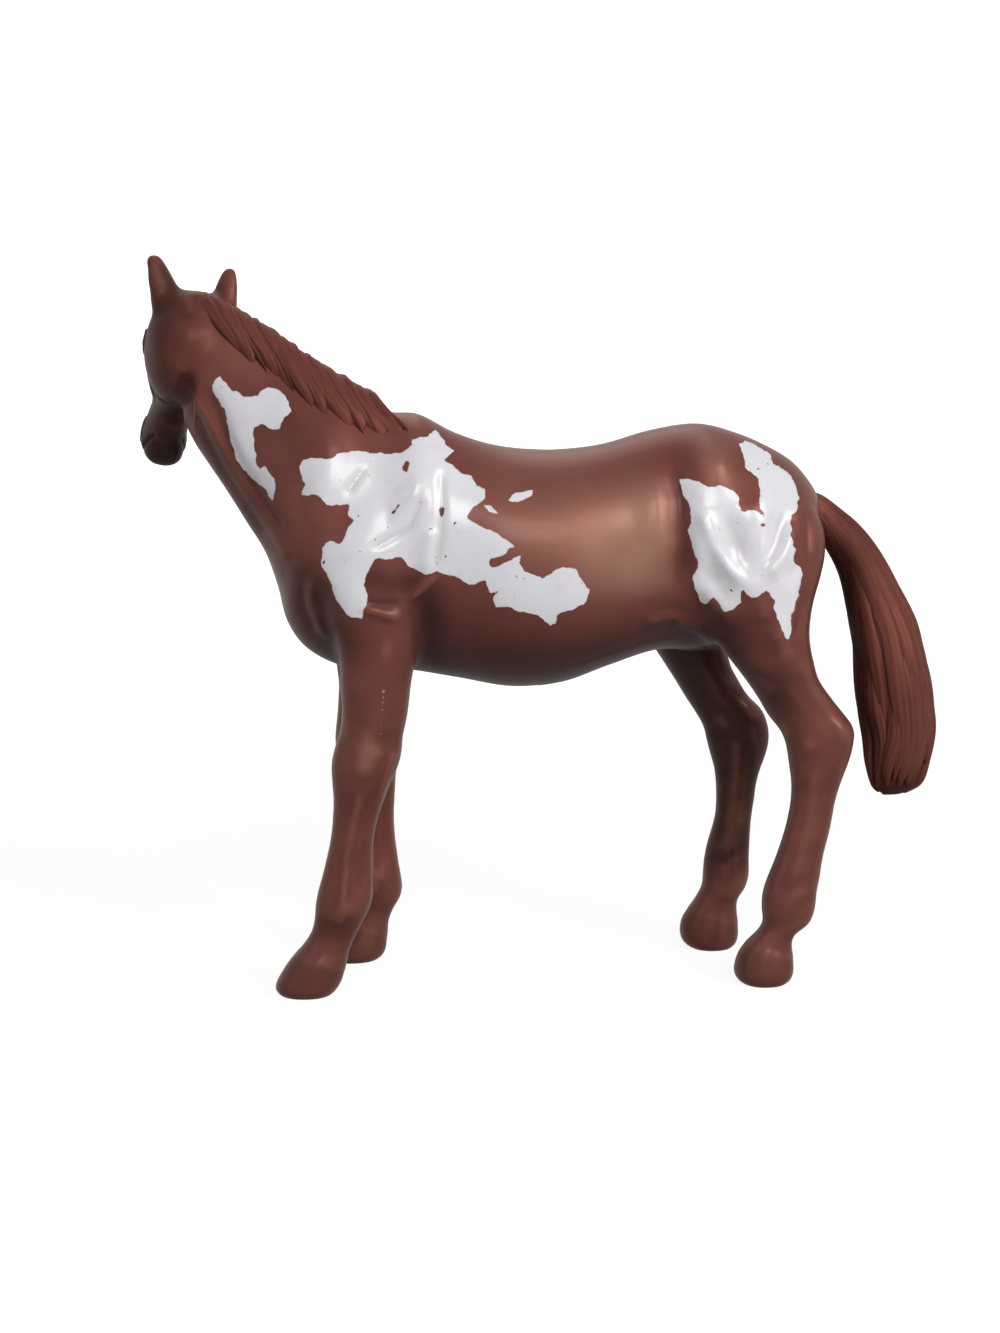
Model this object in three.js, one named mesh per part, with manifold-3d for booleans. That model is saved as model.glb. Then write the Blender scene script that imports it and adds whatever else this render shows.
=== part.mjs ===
// Toy farm animal figure: a standing horse with its head turned away to its right.
// The figure is moulded in plastic as a trunk with its neck, four legs, a head, a mane and a tail,
// and each of these plugs into its neighbour and is bonded there, so nothing on it moves.
// Millimetres, +Z up. The horse faces -X, and its near (left) side faces -Y.
import * as THREE from "three";
import { mergeVertices } from "three/addons/utils/BufferGeometryUtils.js";
import Module from "manifold-3d";

const wasm = await Module();
wasm.setup();
const { degToRad } = THREE.MathUtils;

// Trunk
const bodyLength = 80; // point of shoulder to point of buttock
const withersHeight = 86; // ground to the top of the withers
const barrelWidth = 30; // across the ribs at their widest

// Neck: the poll stands ahead of the withers, above them and to the off side,
// and the throat ends ahead of the breast and above it.
const neckReach = 31;
const neckRise = 16.8;
const neckBend = 9.5;
const throatReach = 16.3;
const throatRise = 31.5;
const neckWidth = 26; // across the points of the shoulders

// Head
const headLength = 27.8; // poll to lips
const headDepth = 15; // forehead to jaw
const headWidth = 13; // across the eyes
const headYaw = degToRad(70); // turned to the right
const headPitch = degToRad(50); // nose down
const headTilt = degToRad(14); // near ear higher
const earLength = 6.2;
const earWidth = 4;
const earThickness = 3.2;
const earHollowDepth = 1;
const earSplay = degToRad(16);
const earLean = degToRad(11); // both ears, to the head's left
const earBack = degToRad(38);
const earTwist = degToRad(30);
const eyeLength = 3;
const eyeHeight = 2.3;
const eyeBulge = 1.1; // across, from the middle of the ball
const nostrilLength = 2;
const nostrilWidth = 1.1;

// Legs: the height of the flat joint at the top of each pair, a share of the withers' height,
// how thick the legs are there, and how far apart the middles of a pair stand
const foreSeamShare = 0.54;
const hindSeamShare = 0.57;
const foreLegDepth = 10.3;
const foreLegWidth = 9.4;
const foreTrack = 19;
const hindLegDepth = 11.8;
const hindLegWidth = 10.4;
const hindTrack = 19.6;

// Tail: from the dock down to its tip, and back from the dock to its hindmost lock
const tailDrop = 43;
const tailSweep = 19;
const tailWidth = 9.6;
const tailSwing = 3; // its lower half hangs this far to the near side
const tailGroove = 0.6; // depth of the grooves between its locks
const tailTwist = degToRad(50); // the locks wind round by this much from dock to tip

// Mane: how far its locks hang, and how far they stand off the neck
const maneDrop = 5.6;
const maneThickness = 1.9;
const maneTongueWidth = 1.4;
const maneTongueDepth = 2.2;

// Plugs, sockets and joints
const legPlugDiameter = 5.2;
const legPlugLength = 6;
const headPlugDiameter = 5;
const headPlugLength = 5;
const tailPlugDiameter = 3;
const tailPlugLength = 4;
const plugFlat = 0.6; // depth of the flat that keys a plug
const plugRoot = 1; // how far a leg's plug starts inside the leg
const plugClearance = 0.25; // between a plug and the walls and floor of its socket
const bondGap = 0.3; // line of adhesive between two sloping or curved faces

// How finely the surfaces are divided
const trunkRings = 46;
const trunkSides = 28;
const limbRings = 26;
const limbSides = 14;
const upperLegRings = 12;
const headRings = 24;
const headSides = 20;
const earRings = 6;
const earSides = 10;
const eyeSides = 10;
const tailRings = 24;
const tailLocks = 7;
const sidesPerLock = 4;
const maneLocks = 8;
const ringsPerLock = 4;
const maneStrips = 5;
const tongueRings = 12;
const tongueSides = 8;
const plugSides = 20;

const paintedPlastic = new THREE.MeshStandardMaterial({ color: 0x6b3a30, roughness: 0.42, metalness: 0 });

// A closed solid from a geometry, whose shared vertices are merged and whose faces are turned out.
function solidOf(geometry) {
  const bare = geometry.clone();
  bare.deleteAttribute("normal");
  bare.deleteAttribute("uv");
  const merged = mergeVertices(bare);
  const triangles = new Uint32Array(merged.index.array);
  const build = () =>
    new wasm.Manifold(
      new wasm.Mesh({
        numProp: 3,
        vertProperties: new Float32Array(merged.attributes.position.array),
        triVerts: triangles,
      }),
    );
  const solid = build();
  if (solid.volume() > 0) return solid;
  for (let i = 0; i < triangles.length; i += 3) {
    [triangles[i], triangles[i + 1]] = [triangles[i + 1], triangles[i]];
  }
  return build();
}

// The geometry of a finished solid.
function geometryOf(solid) {
  const mesh = solid.getMesh();
  const geometry = new THREE.BufferGeometry();
  geometry.setAttribute("position", new THREE.BufferAttribute(mesh.vertProperties, 3));
  geometry.setIndex(new THREE.BufferAttribute(mesh.triVerts, 1));
  geometry.computeVertexNormals();
  return geometry;
}

// A matrix for a place and a turn.
function placing(position, turn) {
  const quaternion = new THREE.Quaternion().setFromEuler(turn);
  return new THREE.Matrix4().compose(position, quaternion, new THREE.Vector3(1, 1, 1));
}

// A smooth line through points, as a function that takes 0 at the first and 1 at the last.
function lineThrough(points) {
  const curve = new THREE.CatmullRomCurve3(points);
  curve.curveType = "catmullrom";
  return (t) => curve.getPoint(t);
}

// The skin over closed egg-shaped sections, as a function of the way along it, the turn round it
// and a lift off it. Each station has the two ends of its section in the side view, first and last,
// as [x, z], its half width, its middle plane in y, how far from first to last it is widest, and how
// full its corners are (1 is an ellipse, and less is squarer). A turn of zero is at first.
function skinOver(stations) {
  const first = lineThrough(stations.map((s) => new THREE.Vector3(s.first[0], s.y ?? 0, s.first[1])));
  const last = lineThrough(stations.map((s) => new THREE.Vector3(s.last[0], s.y ?? 0, s.last[1])));
  const breadth = lineThrough(
    stations.map(({ half, widest = 0.5, corner = 1 }) => new THREE.Vector3(half, widest, corner)),
  );
  return (t, turn, lift = 0) => {
    const start = first(t);
    const { x: half, y: widest, z: corner } = breadth(t);
    const middle = start.clone().lerp(last(t), widest);
    const up = Math.cos(turn);
    const out = Math.sin(turn);
    const reach = (up > 0 ? start : last(t)).sub(middle);
    const length = reach.length();
    const point = reach.multiplyScalar((Math.abs(up) ** corner * (length + lift)) / length).add(middle);
    point.y += Math.sign(out) * Math.abs(out) ** corner * (half + lift);
    return point;
  };
}

// A closed solid between a grid of points that wraps round itself and a hub at each of its ends.
function closedTube(rings, sides, at) {
  const positions = [];
  for (let ring = 0; ring <= rings; ring++) {
    for (let side = 0; side < sides; side++) positions.push(...at(ring, side).toArray());
  }
  const index = [];
  for (let ring = 0; ring < rings; ring++) {
    for (let side = 0; side < sides; side++) {
      const here = ring * sides + side;
      const next = ring * sides + ((side + 1) % sides);
      index.push(here, next, next + sides, here, next + sides, here + sides);
    }
  }
  for (const ring of [0, rings]) {
    const hub = positions.length / 3;
    const middle = new THREE.Vector3();
    for (let side = 0; side < sides; side++) {
      middle.addScaledVector(at(ring, side), 1 / sides);
      const here = ring * sides + side;
      const next = ring * sides + ((side + 1) % sides);
      index.push(hub, ring ? here : next, ring ? next : here);
    }
    positions.push(...middle.toArray());
  }
  const geometry = new THREE.BufferGeometry();
  geometry.setAttribute("position", new THREE.Float32BufferAttribute(positions, 3));
  geometry.setIndex(index);
  return solidOf(geometry);
}

// A loft over stations. grow makes it larger all round and at both ends,
// and groove(t, turn) gives a depth to take off its skin.
function loft(stations, rings, sides, { grow = 0, groove = () => 0 } = {}) {
  const skin = skinOver(stations);
  const middleOf = ({ first, last, y = 0 }) =>
    new THREE.Vector3((first[0] + last[0]) / 2, y, (first[1] + last[1]) / 2);
  const outward = (end, next) => middleOf(end).sub(middleOf(next)).normalize();
  const endShifts = new Map([
    [0, outward(stations[0], stations[1])],
    [rings, outward(stations[stations.length - 1], stations[stations.length - 2])],
  ]);
  return closedTube(rings, sides, (ring, side) => {
    const t = ring / rings;
    const turn = (side / sides) * 2 * Math.PI;
    const point = skin(t, turn, grow - groove(t, turn));
    if (endShifts.has(ring)) point.addScaledVector(endShifts.get(ring), grow);
    return point;
  });
}

// A round plug with a flat along one side, standing on the origin along +Z. grow makes its socket.
function plug(diameter, length, grow = 0) {
  const radius = diameter / 2 + grow;
  const halfAngle = Math.acos((radius - plugFlat) / radius);
  const outline = new THREE.Shape();
  outline.absarc(0, 0, radius, halfAngle, 2 * Math.PI - halfAngle, false);
  outline.closePath();
  return solidOf(
    new THREE.ExtrudeGeometry(outline, {
      depth: length + grow,
      bevelEnabled: false,
      curveSegments: plugSides,
    }),
  );
}

// Trunk: rump, barrel and chest. Each row has its top line and its underside as along and height,
// then its half width. Along is a share of the body length, height of the withers' height, and
// the half width of the barrel's width.
const barrelShares = [
  [0.531, 0.832, 0.522, 0.757, 0.08],
  [0.515, 0.861, 0.5, 0.688, 0.25],
  [0.481, 0.899, 0.462, 0.642, 0.35],
  [0.438, 0.925, 0.419, 0.607, 0.427],
  [0.375, 0.951, 0.362, 0.584, 0.47],
  [0.3, 0.968, 0.3, 0.573, 0.475],
  [0.212, 0.957, 0.225, 0.576, 0.45],
  [0.119, 0.933, 0.131, 0.55, 0.465],
  [0.025, 0.925, 0.044, 0.523, 0.5],
  [-0.069, 0.932, -0.05, 0.516, 0.5],
  [-0.15, 0.955, -0.15, 0.532, 0.46],
  [-0.219, 0.988, -0.25, 0.547, 0.435],
];
const barrelWidestShare = 0.52;
const barrelCornerShare = 0.94;
const withersAlongShare = -0.256;
const withers = new THREE.Vector3(withersAlongShare * bodyLength, 0, withersHeight);

function barrelStations() {
  return barrelShares.map(([topAlong, topHeight, underAlong, underHeight, half]) => ({
    first: [topAlong * bodyLength, topHeight * withersHeight],
    last: [underAlong * bodyLength, underHeight * withersHeight],
    half: half * barrelWidth,
    widest: barrelWidestShare,
    corner: barrelCornerShare,
  }));
}

// Root of the neck: each row has the crest as shares of the neck's reach and rise from the withers,
// the breast as along and height shares of the trunk, and the half width of the neck's.
const breastShares = [
  [0.04, -0.04, -0.35, 0.55, 0.465],
  [0.145, 0.03, -0.425, 0.5815, 0.43],
  [0.258, 0.15, -0.465, 0.631, 0.4],
];
// Neck: the crest as before, the throat as shares of its reach and rise from the last row's breast,
// the half width, and the share of the bend.
const neckShares = [
  [0.355, 0.25, 0.086, 0.171, 0.352, 0.04],
  [0.468, 0.39, 0.196, 0.33, 0.308, 0.12],
  [0.581, 0.54, 0.356, 0.463, 0.275, 0.24],
  [0.694, 0.67, 0.54, 0.616, 0.262, 0.35],
  [0.806, 0.79, 0.718, 0.752, 0.266, 0.5],
  [0.919, 0.88, 0.871, 0.87, 0.262, 0.68],
  [1.01, 0.84, 1, 1, 0.22, 0.85],
];
const neckWidestShare = 0.6;

function neckStations() {
  const crest = (reach, rise) => [withers.x - reach * neckReach, withers.z + rise * neckRise];
  const root = breastShares.map(([reach, rise, along, height, half]) => ({
    first: crest(reach, rise),
    last: [along * bodyLength, height * withersHeight],
    half: half * neckWidth,
    widest: neckWidestShare,
  }));
  const [breastX, breastZ] = root[root.length - 1].last;
  const upper = neckShares.map(([reach, rise, throatAlong, throatUp, half, bend]) => ({
    first: crest(reach, rise),
    last: [breastX - throatAlong * throatReach, breastZ + throatUp * throatRise],
    half: half * neckWidth,
    y: bend * neckBend,
    widest: neckWidestShare,
  }));
  return [...root, ...upper];
}
const trunkStations = [...barrelStations(), ...neckStations()];

// Upper legs, moulded with the trunk. The rows climb from the joint to the top of the muscle: each has
// its height as a share of that climb, its middle as a share of the body length, its depth and width
// as shares of the leg's at the joint, and its side as a share of half the track.
const shoulderShares = [
  [0, -0.307, 1, 1, 1.01],
  [0.11, -0.303, 1.09, 1.04, 0.99],
  [0.23, -0.3, 1.3, 1.18, 0.91],
  [0.36, -0.308, 1.66, 1.36, 0.8],
  [0.51, -0.314, 2.02, 1.58, 0.66],
  [0.66, -0.305, 2.1, 1.64, 0.55],
  [0.84, -0.275, 1.85, 1.44, 0.43],
  [1, -0.25, 1.2, 0.9, 0.32],
];
const shoulderTopShare = 0.915;
const nearThighShares = [
  [0, 0.434, 1, 1, 1],
  [0.1, 0.416, 1.14, 1.04, 0.98],
  [0.2, 0.4, 1.34, 1.12, 0.94],
  [0.33, 0.38, 1.7, 1.3, 0.86],
  [0.47, 0.374, 1.95, 1.46, 0.77],
  [0.6, 0.378, 2.02, 1.5, 0.69],
  [0.73, 0.388, 1.84, 1.38, 0.61],
  [0.87, 0.397, 1.4, 1.16, 0.53],
  [1, 0.394, 0.8, 0.86, 0.43],
];
const offThighShares = [
  [0, 0.303, 0.95, 1, 1.02],
  [0.1, 0.318, 1.2, 1.04, 0.99],
  [0.2, 0.335, 1.52, 1.12, 0.94],
  [0.33, 0.352, 1.8, 1.3, 0.86],
  [0.47, 0.368, 1.96, 1.46, 0.77],
  [0.6, 0.378, 2.02, 1.5, 0.69],
  [0.73, 0.388, 1.84, 1.38, 0.61],
  [0.87, 0.397, 1.4, 1.16, 0.53],
  [1, 0.394, 0.8, 0.86, 0.43],
];
const thighTopShare = 0.88;

// Legs: the rows fall from the joint, at 1, to the sole, at 0, with the same shares.
const nearForeShares = [
  [1, -0.307, 1, 1, 1.01],
  [0.935, -0.308, 0.93, 0.94, 1.01],
  [0.88, -0.311, 0.89, 0.88, 1],
  [0.83, -0.317, 0.88, 0.83, 0.99],
  [0.785, -0.322, 0.93, 0.84, 0.99],
  [0.738, -0.328, 0.92, 0.84, 0.99],
  [0.688, -0.334, 0.81, 0.8, 0.99],
  [0.634, -0.339, 0.7, 0.7, 0.99],
  [0.57, -0.346, 0.61, 0.61, 0.99],
  [0.495, -0.353, 0.58, 0.58, 1],
  [0.43, -0.358, 0.63, 0.58, 1],
  [0.376, -0.362, 0.69, 0.62, 1.01],
  [0.323, -0.366, 0.76, 0.7, 1.01],
  [0.28, -0.371, 0.75, 0.72, 1.02],
  [0.237, -0.378, 0.67, 0.66, 1.02],
  [0.194, -0.388, 0.62, 0.61, 1.03],
  [0.15, -0.402, 0.66, 0.68, 1.03],
  [0.108, -0.416, 0.78, 0.81, 1.04],
  [0.054, -0.43, 0.88, 0.93, 1.04],
  [0.019, -0.44, 0.86, 0.96, 1.04],
  [0, -0.442, 0.72, 0.83, 1.04],
];
const offForeShares = [
  [1, -0.307, 0.92, 1, 0.99],
  [0.925, -0.309, 0.88, 0.92, 0.99],
  [0.86, -0.311, 0.87, 0.86, 0.98],
  [0.796, -0.313, 0.89, 0.82, 0.97],
  [0.742, -0.314, 0.92, 0.84, 0.97],
  [0.688, -0.313, 0.87, 0.84, 0.97],
  [0.634, -0.311, 0.77, 0.77, 0.96],
  [0.58, -0.306, 0.66, 0.66, 0.96],
  [0.505, -0.304, 0.59, 0.58, 0.96],
  [0.43, -0.304, 0.6, 0.58, 0.96],
  [0.366, -0.303, 0.65, 0.61, 0.96],
  [0.312, -0.304, 0.73, 0.69, 0.96],
  [0.258, -0.302, 0.78, 0.73, 0.96],
  [0.215, -0.301, 0.74, 0.69, 0.96],
  [0.172, -0.308, 0.63, 0.62, 0.96],
  [0.129, -0.32, 0.66, 0.69, 0.96],
  [0.086, -0.331, 0.8, 0.81, 0.96],
  [0.043, -0.34, 0.91, 0.93, 0.96],
  [0.017, -0.346, 0.91, 0.95, 0.96],
  [0, -0.348, 0.75, 0.81, 0.96],
];
const nearHindShares = [
  [1, 0.434, 1, 1, 1],
  [0.94, 0.454, 0.87, 0.88, 0.98],
  [0.88, 0.478, 0.86, 0.76, 0.95],
  [0.837, 0.494, 0.91, 0.68, 0.94],
  [0.79, 0.514, 0.9, 0.66, 0.94],
  [0.75, 0.52, 0.83, 0.67, 0.94],
  [0.702, 0.518, 0.76, 0.65, 0.94],
  [0.653, 0.515, 0.66, 0.6, 0.95],
  [0.612, 0.512, 0.58, 0.56, 0.95],
  [0.561, 0.507, 0.53, 0.53, 0.96],
  [0.51, 0.502, 0.53, 0.52, 0.96],
  [0.465, 0.496, 0.54, 0.52, 0.97],
  [0.418, 0.488, 0.55, 0.52, 0.97],
  [0.371, 0.48, 0.58, 0.54, 0.98],
  [0.327, 0.473, 0.63, 0.57, 0.98],
  [0.282, 0.466, 0.65, 0.62, 0.98],
  [0.235, 0.464, 0.65, 0.65, 0.98],
  [0.188, 0.46, 0.56, 0.6, 0.98],
  [0.155, 0.442, 0.46, 0.54, 0.98],
  [0.122, 0.428, 0.55, 0.58, 0.98],
  [0.09, 0.422, 0.66, 0.69, 0.98],
  [0.045, 0.419, 0.73, 0.8, 0.98],
  [0.016, 0.419, 0.68, 0.82, 0.98],
  [0, 0.419, 0.5, 0.69, 0.98],
];
const offHindShares = [
  [1, 0.303, 0.95, 1, 1.02],
  [0.94, 0.318, 0.84, 0.88, 1.04],
  [0.88, 0.339, 0.79, 0.78, 1.06],
  [0.816, 0.363, 0.79, 0.7, 1.08],
  [0.77, 0.386, 0.85, 0.67, 1.09],
  [0.72, 0.401, 0.82, 0.67, 1.1],
  [0.673, 0.406, 0.79, 0.66, 1.11],
  [0.624, 0.407, 0.69, 0.62, 1.12],
  [0.578, 0.406, 0.57, 0.57, 1.13],
  [0.529, 0.404, 0.5, 0.53, 1.13],
  [0.48, 0.403, 0.47, 0.52, 1.14],
  [0.43, 0.4, 0.45, 0.52, 1.14],
  [0.384, 0.396, 0.48, 0.52, 1.15],
  [0.335, 0.391, 0.53, 0.54, 1.15],
  [0.286, 0.388, 0.56, 0.58, 1.16],
  [0.237, 0.387, 0.58, 0.62, 1.16],
  [0.196, 0.383, 0.55, 0.62, 1.16],
  [0.155, 0.369, 0.53, 0.56, 1.16],
  [0.12, 0.361, 0.62, 0.6, 1.16],
  [0.085, 0.356, 0.72, 0.7, 1.16],
  [0.045, 0.355, 0.75, 0.8, 1.16],
  [0.016, 0.357, 0.68, 0.82, 1.16],
  [0, 0.359, 0.5, 0.69, 1.16],
];
const legCornerShare = 0.92;

const foreLeg = {
  seam: foreSeamShare * withersHeight,
  depth: foreLegDepth,
  width: foreLegWidth,
  track: foreTrack,
  top: shoulderTopShare * withersHeight,
};
const hindLeg = {
  seam: hindSeamShare * withersHeight,
  depth: hindLegDepth,
  width: hindLegWidth,
  track: hindTrack,
  top: thighTopShare * withersHeight,
};
const legs = {
  near_foreleg: { ...foreLeg, side: -1, upper: shoulderShares, lower: nearForeShares },
  off_foreleg: { ...foreLeg, side: 1, upper: shoulderShares, lower: offForeShares },
  near_hindleg: { ...hindLeg, side: -1, upper: nearThighShares, lower: nearHindShares },
  off_hindleg: { ...hindLeg, side: 1, upper: offThighShares, lower: offHindShares },
};

// The stations of a leg's rows, where level gives the height of a row.
function legStations(leg, rows, level) {
  return rows.map(([height, middle, depth, width, apart]) => {
    const x = middle * bodyLength;
    const z = level(height);
    const reach = (depth * leg.depth) / 2;
    return {
      first: [x - reach, z],
      last: [x + reach, z],
      half: (width * leg.width) / 2,
      y: (leg.side * apart * leg.track) / 2,
      corner: legCornerShare,
    };
  });
}

function upperLeg(leg) {
  const level = (share) => leg.seam + share * (leg.top - leg.seam);
  return loft(legStations(leg, leg.upper, level), upperLegRings, limbSides);
}

function lowerLeg(leg) {
  return loft(
    legStations(leg, leg.lower, (share) => share * leg.seam),
    limbRings,
    limbSides,
  );
}

// The plug on top of a leg, rooted inside it, and with grow its socket.
function legPlug(leg, grow = 0) {
  const [, middle, , , apart] = leg.lower[0];
  const foot = [middle * bodyLength, (leg.side * apart * leg.track) / 2, leg.seam - plugRoot];
  return plug(legPlugDiameter, plugRoot + legPlugLength, grow).translate(foot);
}

// Head, in its own frame: +X from the poll to the lips, +Y to the horse's left, +Z out of its forehead.
// Each row has its place along, its face and its jaw as shares of the depth, and its half width.
const headShares = [
  [-0.12, -0.2, -0.5, 0.14],
  [-0.07, -0.08, -0.72, 0.31],
  [0.015, 0.01, -0.87, 0.44],
  [0.09, 0.055, -0.955, 0.49],
  [0.18, 0.07, -0.985, 0.5],
  [0.27, 0.06, -0.955, 0.49],
  [0.36, 0.03, -0.88, 0.43],
  [0.45, -0.005, -0.77, 0.35],
  [0.54, -0.035, -0.68, 0.285],
  [0.63, -0.06, -0.62, 0.245],
  [0.72, -0.075, -0.61, 0.235],
  [0.81, -0.08, -0.64, 0.25],
  [0.885, -0.1, -0.67, 0.265],
  [0.95, -0.155, -0.65, 0.24],
  [0.99, -0.24, -0.56, 0.16],
];
const headWidestShare = 0.42;
const headCornerShare = 0.88;
const eyePlaceShares = [0.285, 0.4, -0.2]; // of the head's length, width and depth
const nostrilPlaceShares = [0.9, 0.21, -0.25];
const earPlaceShares = [0, 0.33, -0.12];
// Ears: each row has its place up the ear, its width and its thickness.
const earShares = [
  [-0.3, 1.2, 1.25],
  [0, 1.08, 1.1],
  [0.2, 1, 0.98],
  [0.45, 0.94, 0.82],
  [0.7, 0.78, 0.66],
  [0.9, 0.54, 0.5],
  [1, 0.24, 0.26],
];
const pollShares = [0.96, 0.955]; // of the neck's reach and rise
const headPlace = new THREE.Vector3(
  withers.x - pollShares[0] * neckReach,
  neckBend,
  withers.z + pollShares[1] * neckRise,
);
const headFrame = placing(headPlace, new THREE.Euler(headTilt, headPitch, Math.PI - headYaw, "ZYX"));

// A place on the head, from shares of its length, width and depth, on its left (1) or right (-1) side.
function onHead([along, across, deep], side) {
  return new THREE.Vector3(along * headLength, side * across * headWidth, deep * headDepth);
}

// An ear stands up along its own +Z and faces +X. An inset moves it forward and narrows it.
function earStations(inset = 0) {
  return earShares.map(([height, width, thickness]) => ({
    first: [(-thickness * earThickness) / 2 + inset, height * earLength],
    last: [(thickness * earThickness) / 2 + inset, height * earLength],
    half: (width * earWidth) / 2 - inset / 2,
  }));
}

function setOnPoll(shape, side) {
  const turn = new THREE.Euler(-side * earSplay - earLean, -earBack, side * earTwist, "XYZ");
  return shape.transform(placing(onHead(earPlaceShares, side), turn).elements);
}

function ear(side, grow = 0) {
  return setOnPoll(loft(earStations(), earRings, earSides, { grow }), side);
}

// The hollow of an ear is a smaller ear set forward, without its root and its tip.
function earHollow(side) {
  return setOnPoll(loft(earStations(earHollowDepth).slice(2, -1), earRings, earSides), side);
}

function headSkull(grow = 0) {
  const stations = headShares.map(([along, face, jaw, half]) => ({
    first: [along * headLength, face * headDepth],
    last: [along * headLength, jaw * headDepth],
    half: half * headWidth,
    widest: headWidestShare,
    corner: headCornerShare,
  }));
  return loft(stations, headRings, headSides, { grow });
}

// The whole head, set in the figure's frame, before it is parted from the neck.
function headForm() {
  let form = headSkull();
  for (const side of [-1, 1]) {
    const eye = new THREE.SphereGeometry(1, eyeSides, eyeSides / 2);
    eye.scale(eyeLength / 2, eyeBulge, eyeHeight / 2);
    const nostril = new THREE.SphereGeometry(1, eyeSides, eyeSides / 2);
    nostril.scale(nostrilLength / 2, nostrilWidth / 2, nostrilLength / 2);
    form = form
      .add(ear(side))
      .add(solidOf(eye).translate(onHead(eyePlaceShares, side).toArray()))
      .subtract(earHollow(side))
      .subtract(solidOf(nostril).translate(onHead(nostrilPlaceShares, side).toArray()));
  }
  return form.transform(headFrame.elements);
}

// The joint between head and neck is a plane behind the ears and the jaw. Its middle is given
// from the poll as shares of the head's depth, and it faces forwards, up and to the off side.
const headSeamShares = [0.33, -0.27, -0.87];
const headSeamTurn = degToRad(-31); // towards the off side from straight ahead
const headSeamLean = degToRad(17); // up from level
const seamPlace = headPlace.clone().add(new THREE.Vector3(...headSeamShares).multiplyScalar(headDepth));
const seamEuler = new THREE.Euler(0, Math.PI / 2 - headSeamLean, Math.PI + headSeamTurn, "ZYX");
const seamFrame = placing(seamPlace, seamEuler);

// Everything ahead of the head's joint, as far as the figure reaches, with a bond line kept clear of it.
function aheadOfSeam() {
  const size = bodyLength;
  const block = new THREE.BoxGeometry(size, size, size).translate(0, 0, size / 2);
  return solidOf(block).translate([0, 0, bondGap / 2]).transform(seamFrame.elements);
}
function behindSeam() {
  const size = 2 * bodyLength;
  const block = new THREE.BoxGeometry(size, size, size).translate(0, 0, -size / 2);
  return solidOf(block).translate([0, 0, -bondGap / 2]).transform(seamFrame.elements);
}

// The plug under the head runs back into the neck from the joint.
function headPlug(grow = 0) {
  const back = new THREE.Euler(Math.PI, 0, 0);
  const stem = plug(headPlugDiameter, headPlugLength + bondGap, grow);
  const root = new THREE.Vector3(0, 0, bondGap);
  return stem.transform(placing(root, back).elements).transform(seamFrame.elements);
}

// Tail. Each row has its outer and its inner edge in the side view, back and down from the dock as
// shares of the sweep and the drop, then its half width and the share of the swing.
const tailShares = [
  [-0.13, -0.075, -0.135, 0.055, 0.26, 0],
  [0.07, -0.068, 0.03, 0.077, 0.28, 0],
  [0.242, -0.016, 0.085, 0.128, 0.31, 0.05],
  [0.4, 0.049, 0.155, 0.193, 0.35, 0.15],
  [0.547, 0.137, 0.215, 0.263, 0.39, 0.3],
  [0.7, 0.263, 0.263, 0.36, 0.44, 0.5],
  [0.842, 0.395, 0.31, 0.467, 0.48, 0.7],
  [0.916, 0.523, 0.342, 0.57, 0.5, 0.85],
  [0.963, 0.658, 0.38, 0.677, 0.49, 0.95],
  [0.995, 0.784, 0.43, 0.788, 0.45, 1],
  [0.963, 0.881, 0.49, 0.877, 0.37, 1],
  [0.863, 0.951, 0.568, 0.951, 0.24, 1],
  [0.758, 0.984, 0.652, 0.981, 0.09, 1],
];
const dockShares = [0.5125, 0.815]; // of the body length and of the withers' height
const dock = new THREE.Vector3(dockShares[0] * bodyLength, 0, dockShares[1] * withersHeight);

function tailStations() {
  return tailShares.map(([outerBack, outerDown, innerBack, innerDown, half, swing]) => ({
    first: [dock.x + outerBack * tailSweep, dock.z - outerDown * tailDrop],
    last: [dock.x + innerBack * tailSweep, dock.z - innerDown * tailDrop],
    half: half * tailWidth,
    y: -swing * tailSwing,
  }));
}

// Grooves wind down between the locks, deepest halfway down and gone at both ends.
function tailLockGroove(t, turn) {
  const lock = Math.abs(Math.cos((tailLocks * (turn + tailTwist * t)) / 2));
  return tailGroove * Math.sin(Math.PI * t) * (1 - lock);
}

function tailForm(grow = 0) {
  const groove = grow ? undefined : tailLockGroove;
  return loft(tailStations(), tailRings, tailLocks * sidesPerLock, { grow, groove });
}

// The plug at the dock runs forwards into the rump.
function tailPlug(grow = 0) {
  const [root] = tailStations();
  const place = new THREE.Vector3(root.first[0], 0, (root.first[1] + root.last[1]) / 2);
  const forwards = new THREE.Euler(0, -Math.PI / 2, 0);
  const overlap = tailSweep * -tailShares[0][0];
  const stem = plug(tailPlugDiameter, tailPlugLength + overlap, grow);
  return stem.transform(placing(place.setX(place.x + overlap), forwards).elements);
}

// Mane: it follows the crest of the neck from the withers to the poll, and its locks hang on the near
// side. Its ends and its tongue's are shares of the trunk's skin from the rump to the poll.
const maneEndShares = [0.575, 0.957];
const tongueEndShares = [0.59, 0.83];
const maneOverShare = 0.12; // of the drop, over to the off side of the crest
const lockSlantShare = 1.4; // of a lock's width, that its tip lies nearer the withers
const lockShortShare = 0.35; // of the drop, that the gaps between tips are shorter
const lockThinShare = 0.5; // of the thickness, taken off between locks
const edgeThinShare = 0.6; // of the thickness, taken off at the crest and at the tips
const lockRoundness = 0.7; // how squarely a lock swells, from 0, flat, to 1, round
const edgeSquareness = 4; // a power, even, so that both edges thin alike
const maneFallShares = [0.42, 0.7, 0.92, 1, 0.95, 0.86, 0.66, 0.4]; // of the drop, at even steps
const maneFall = lineThrough(maneFallShares.map((share) => new THREE.Vector3(share)));
const trunkSkin = skinOver(trunkStations);

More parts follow.
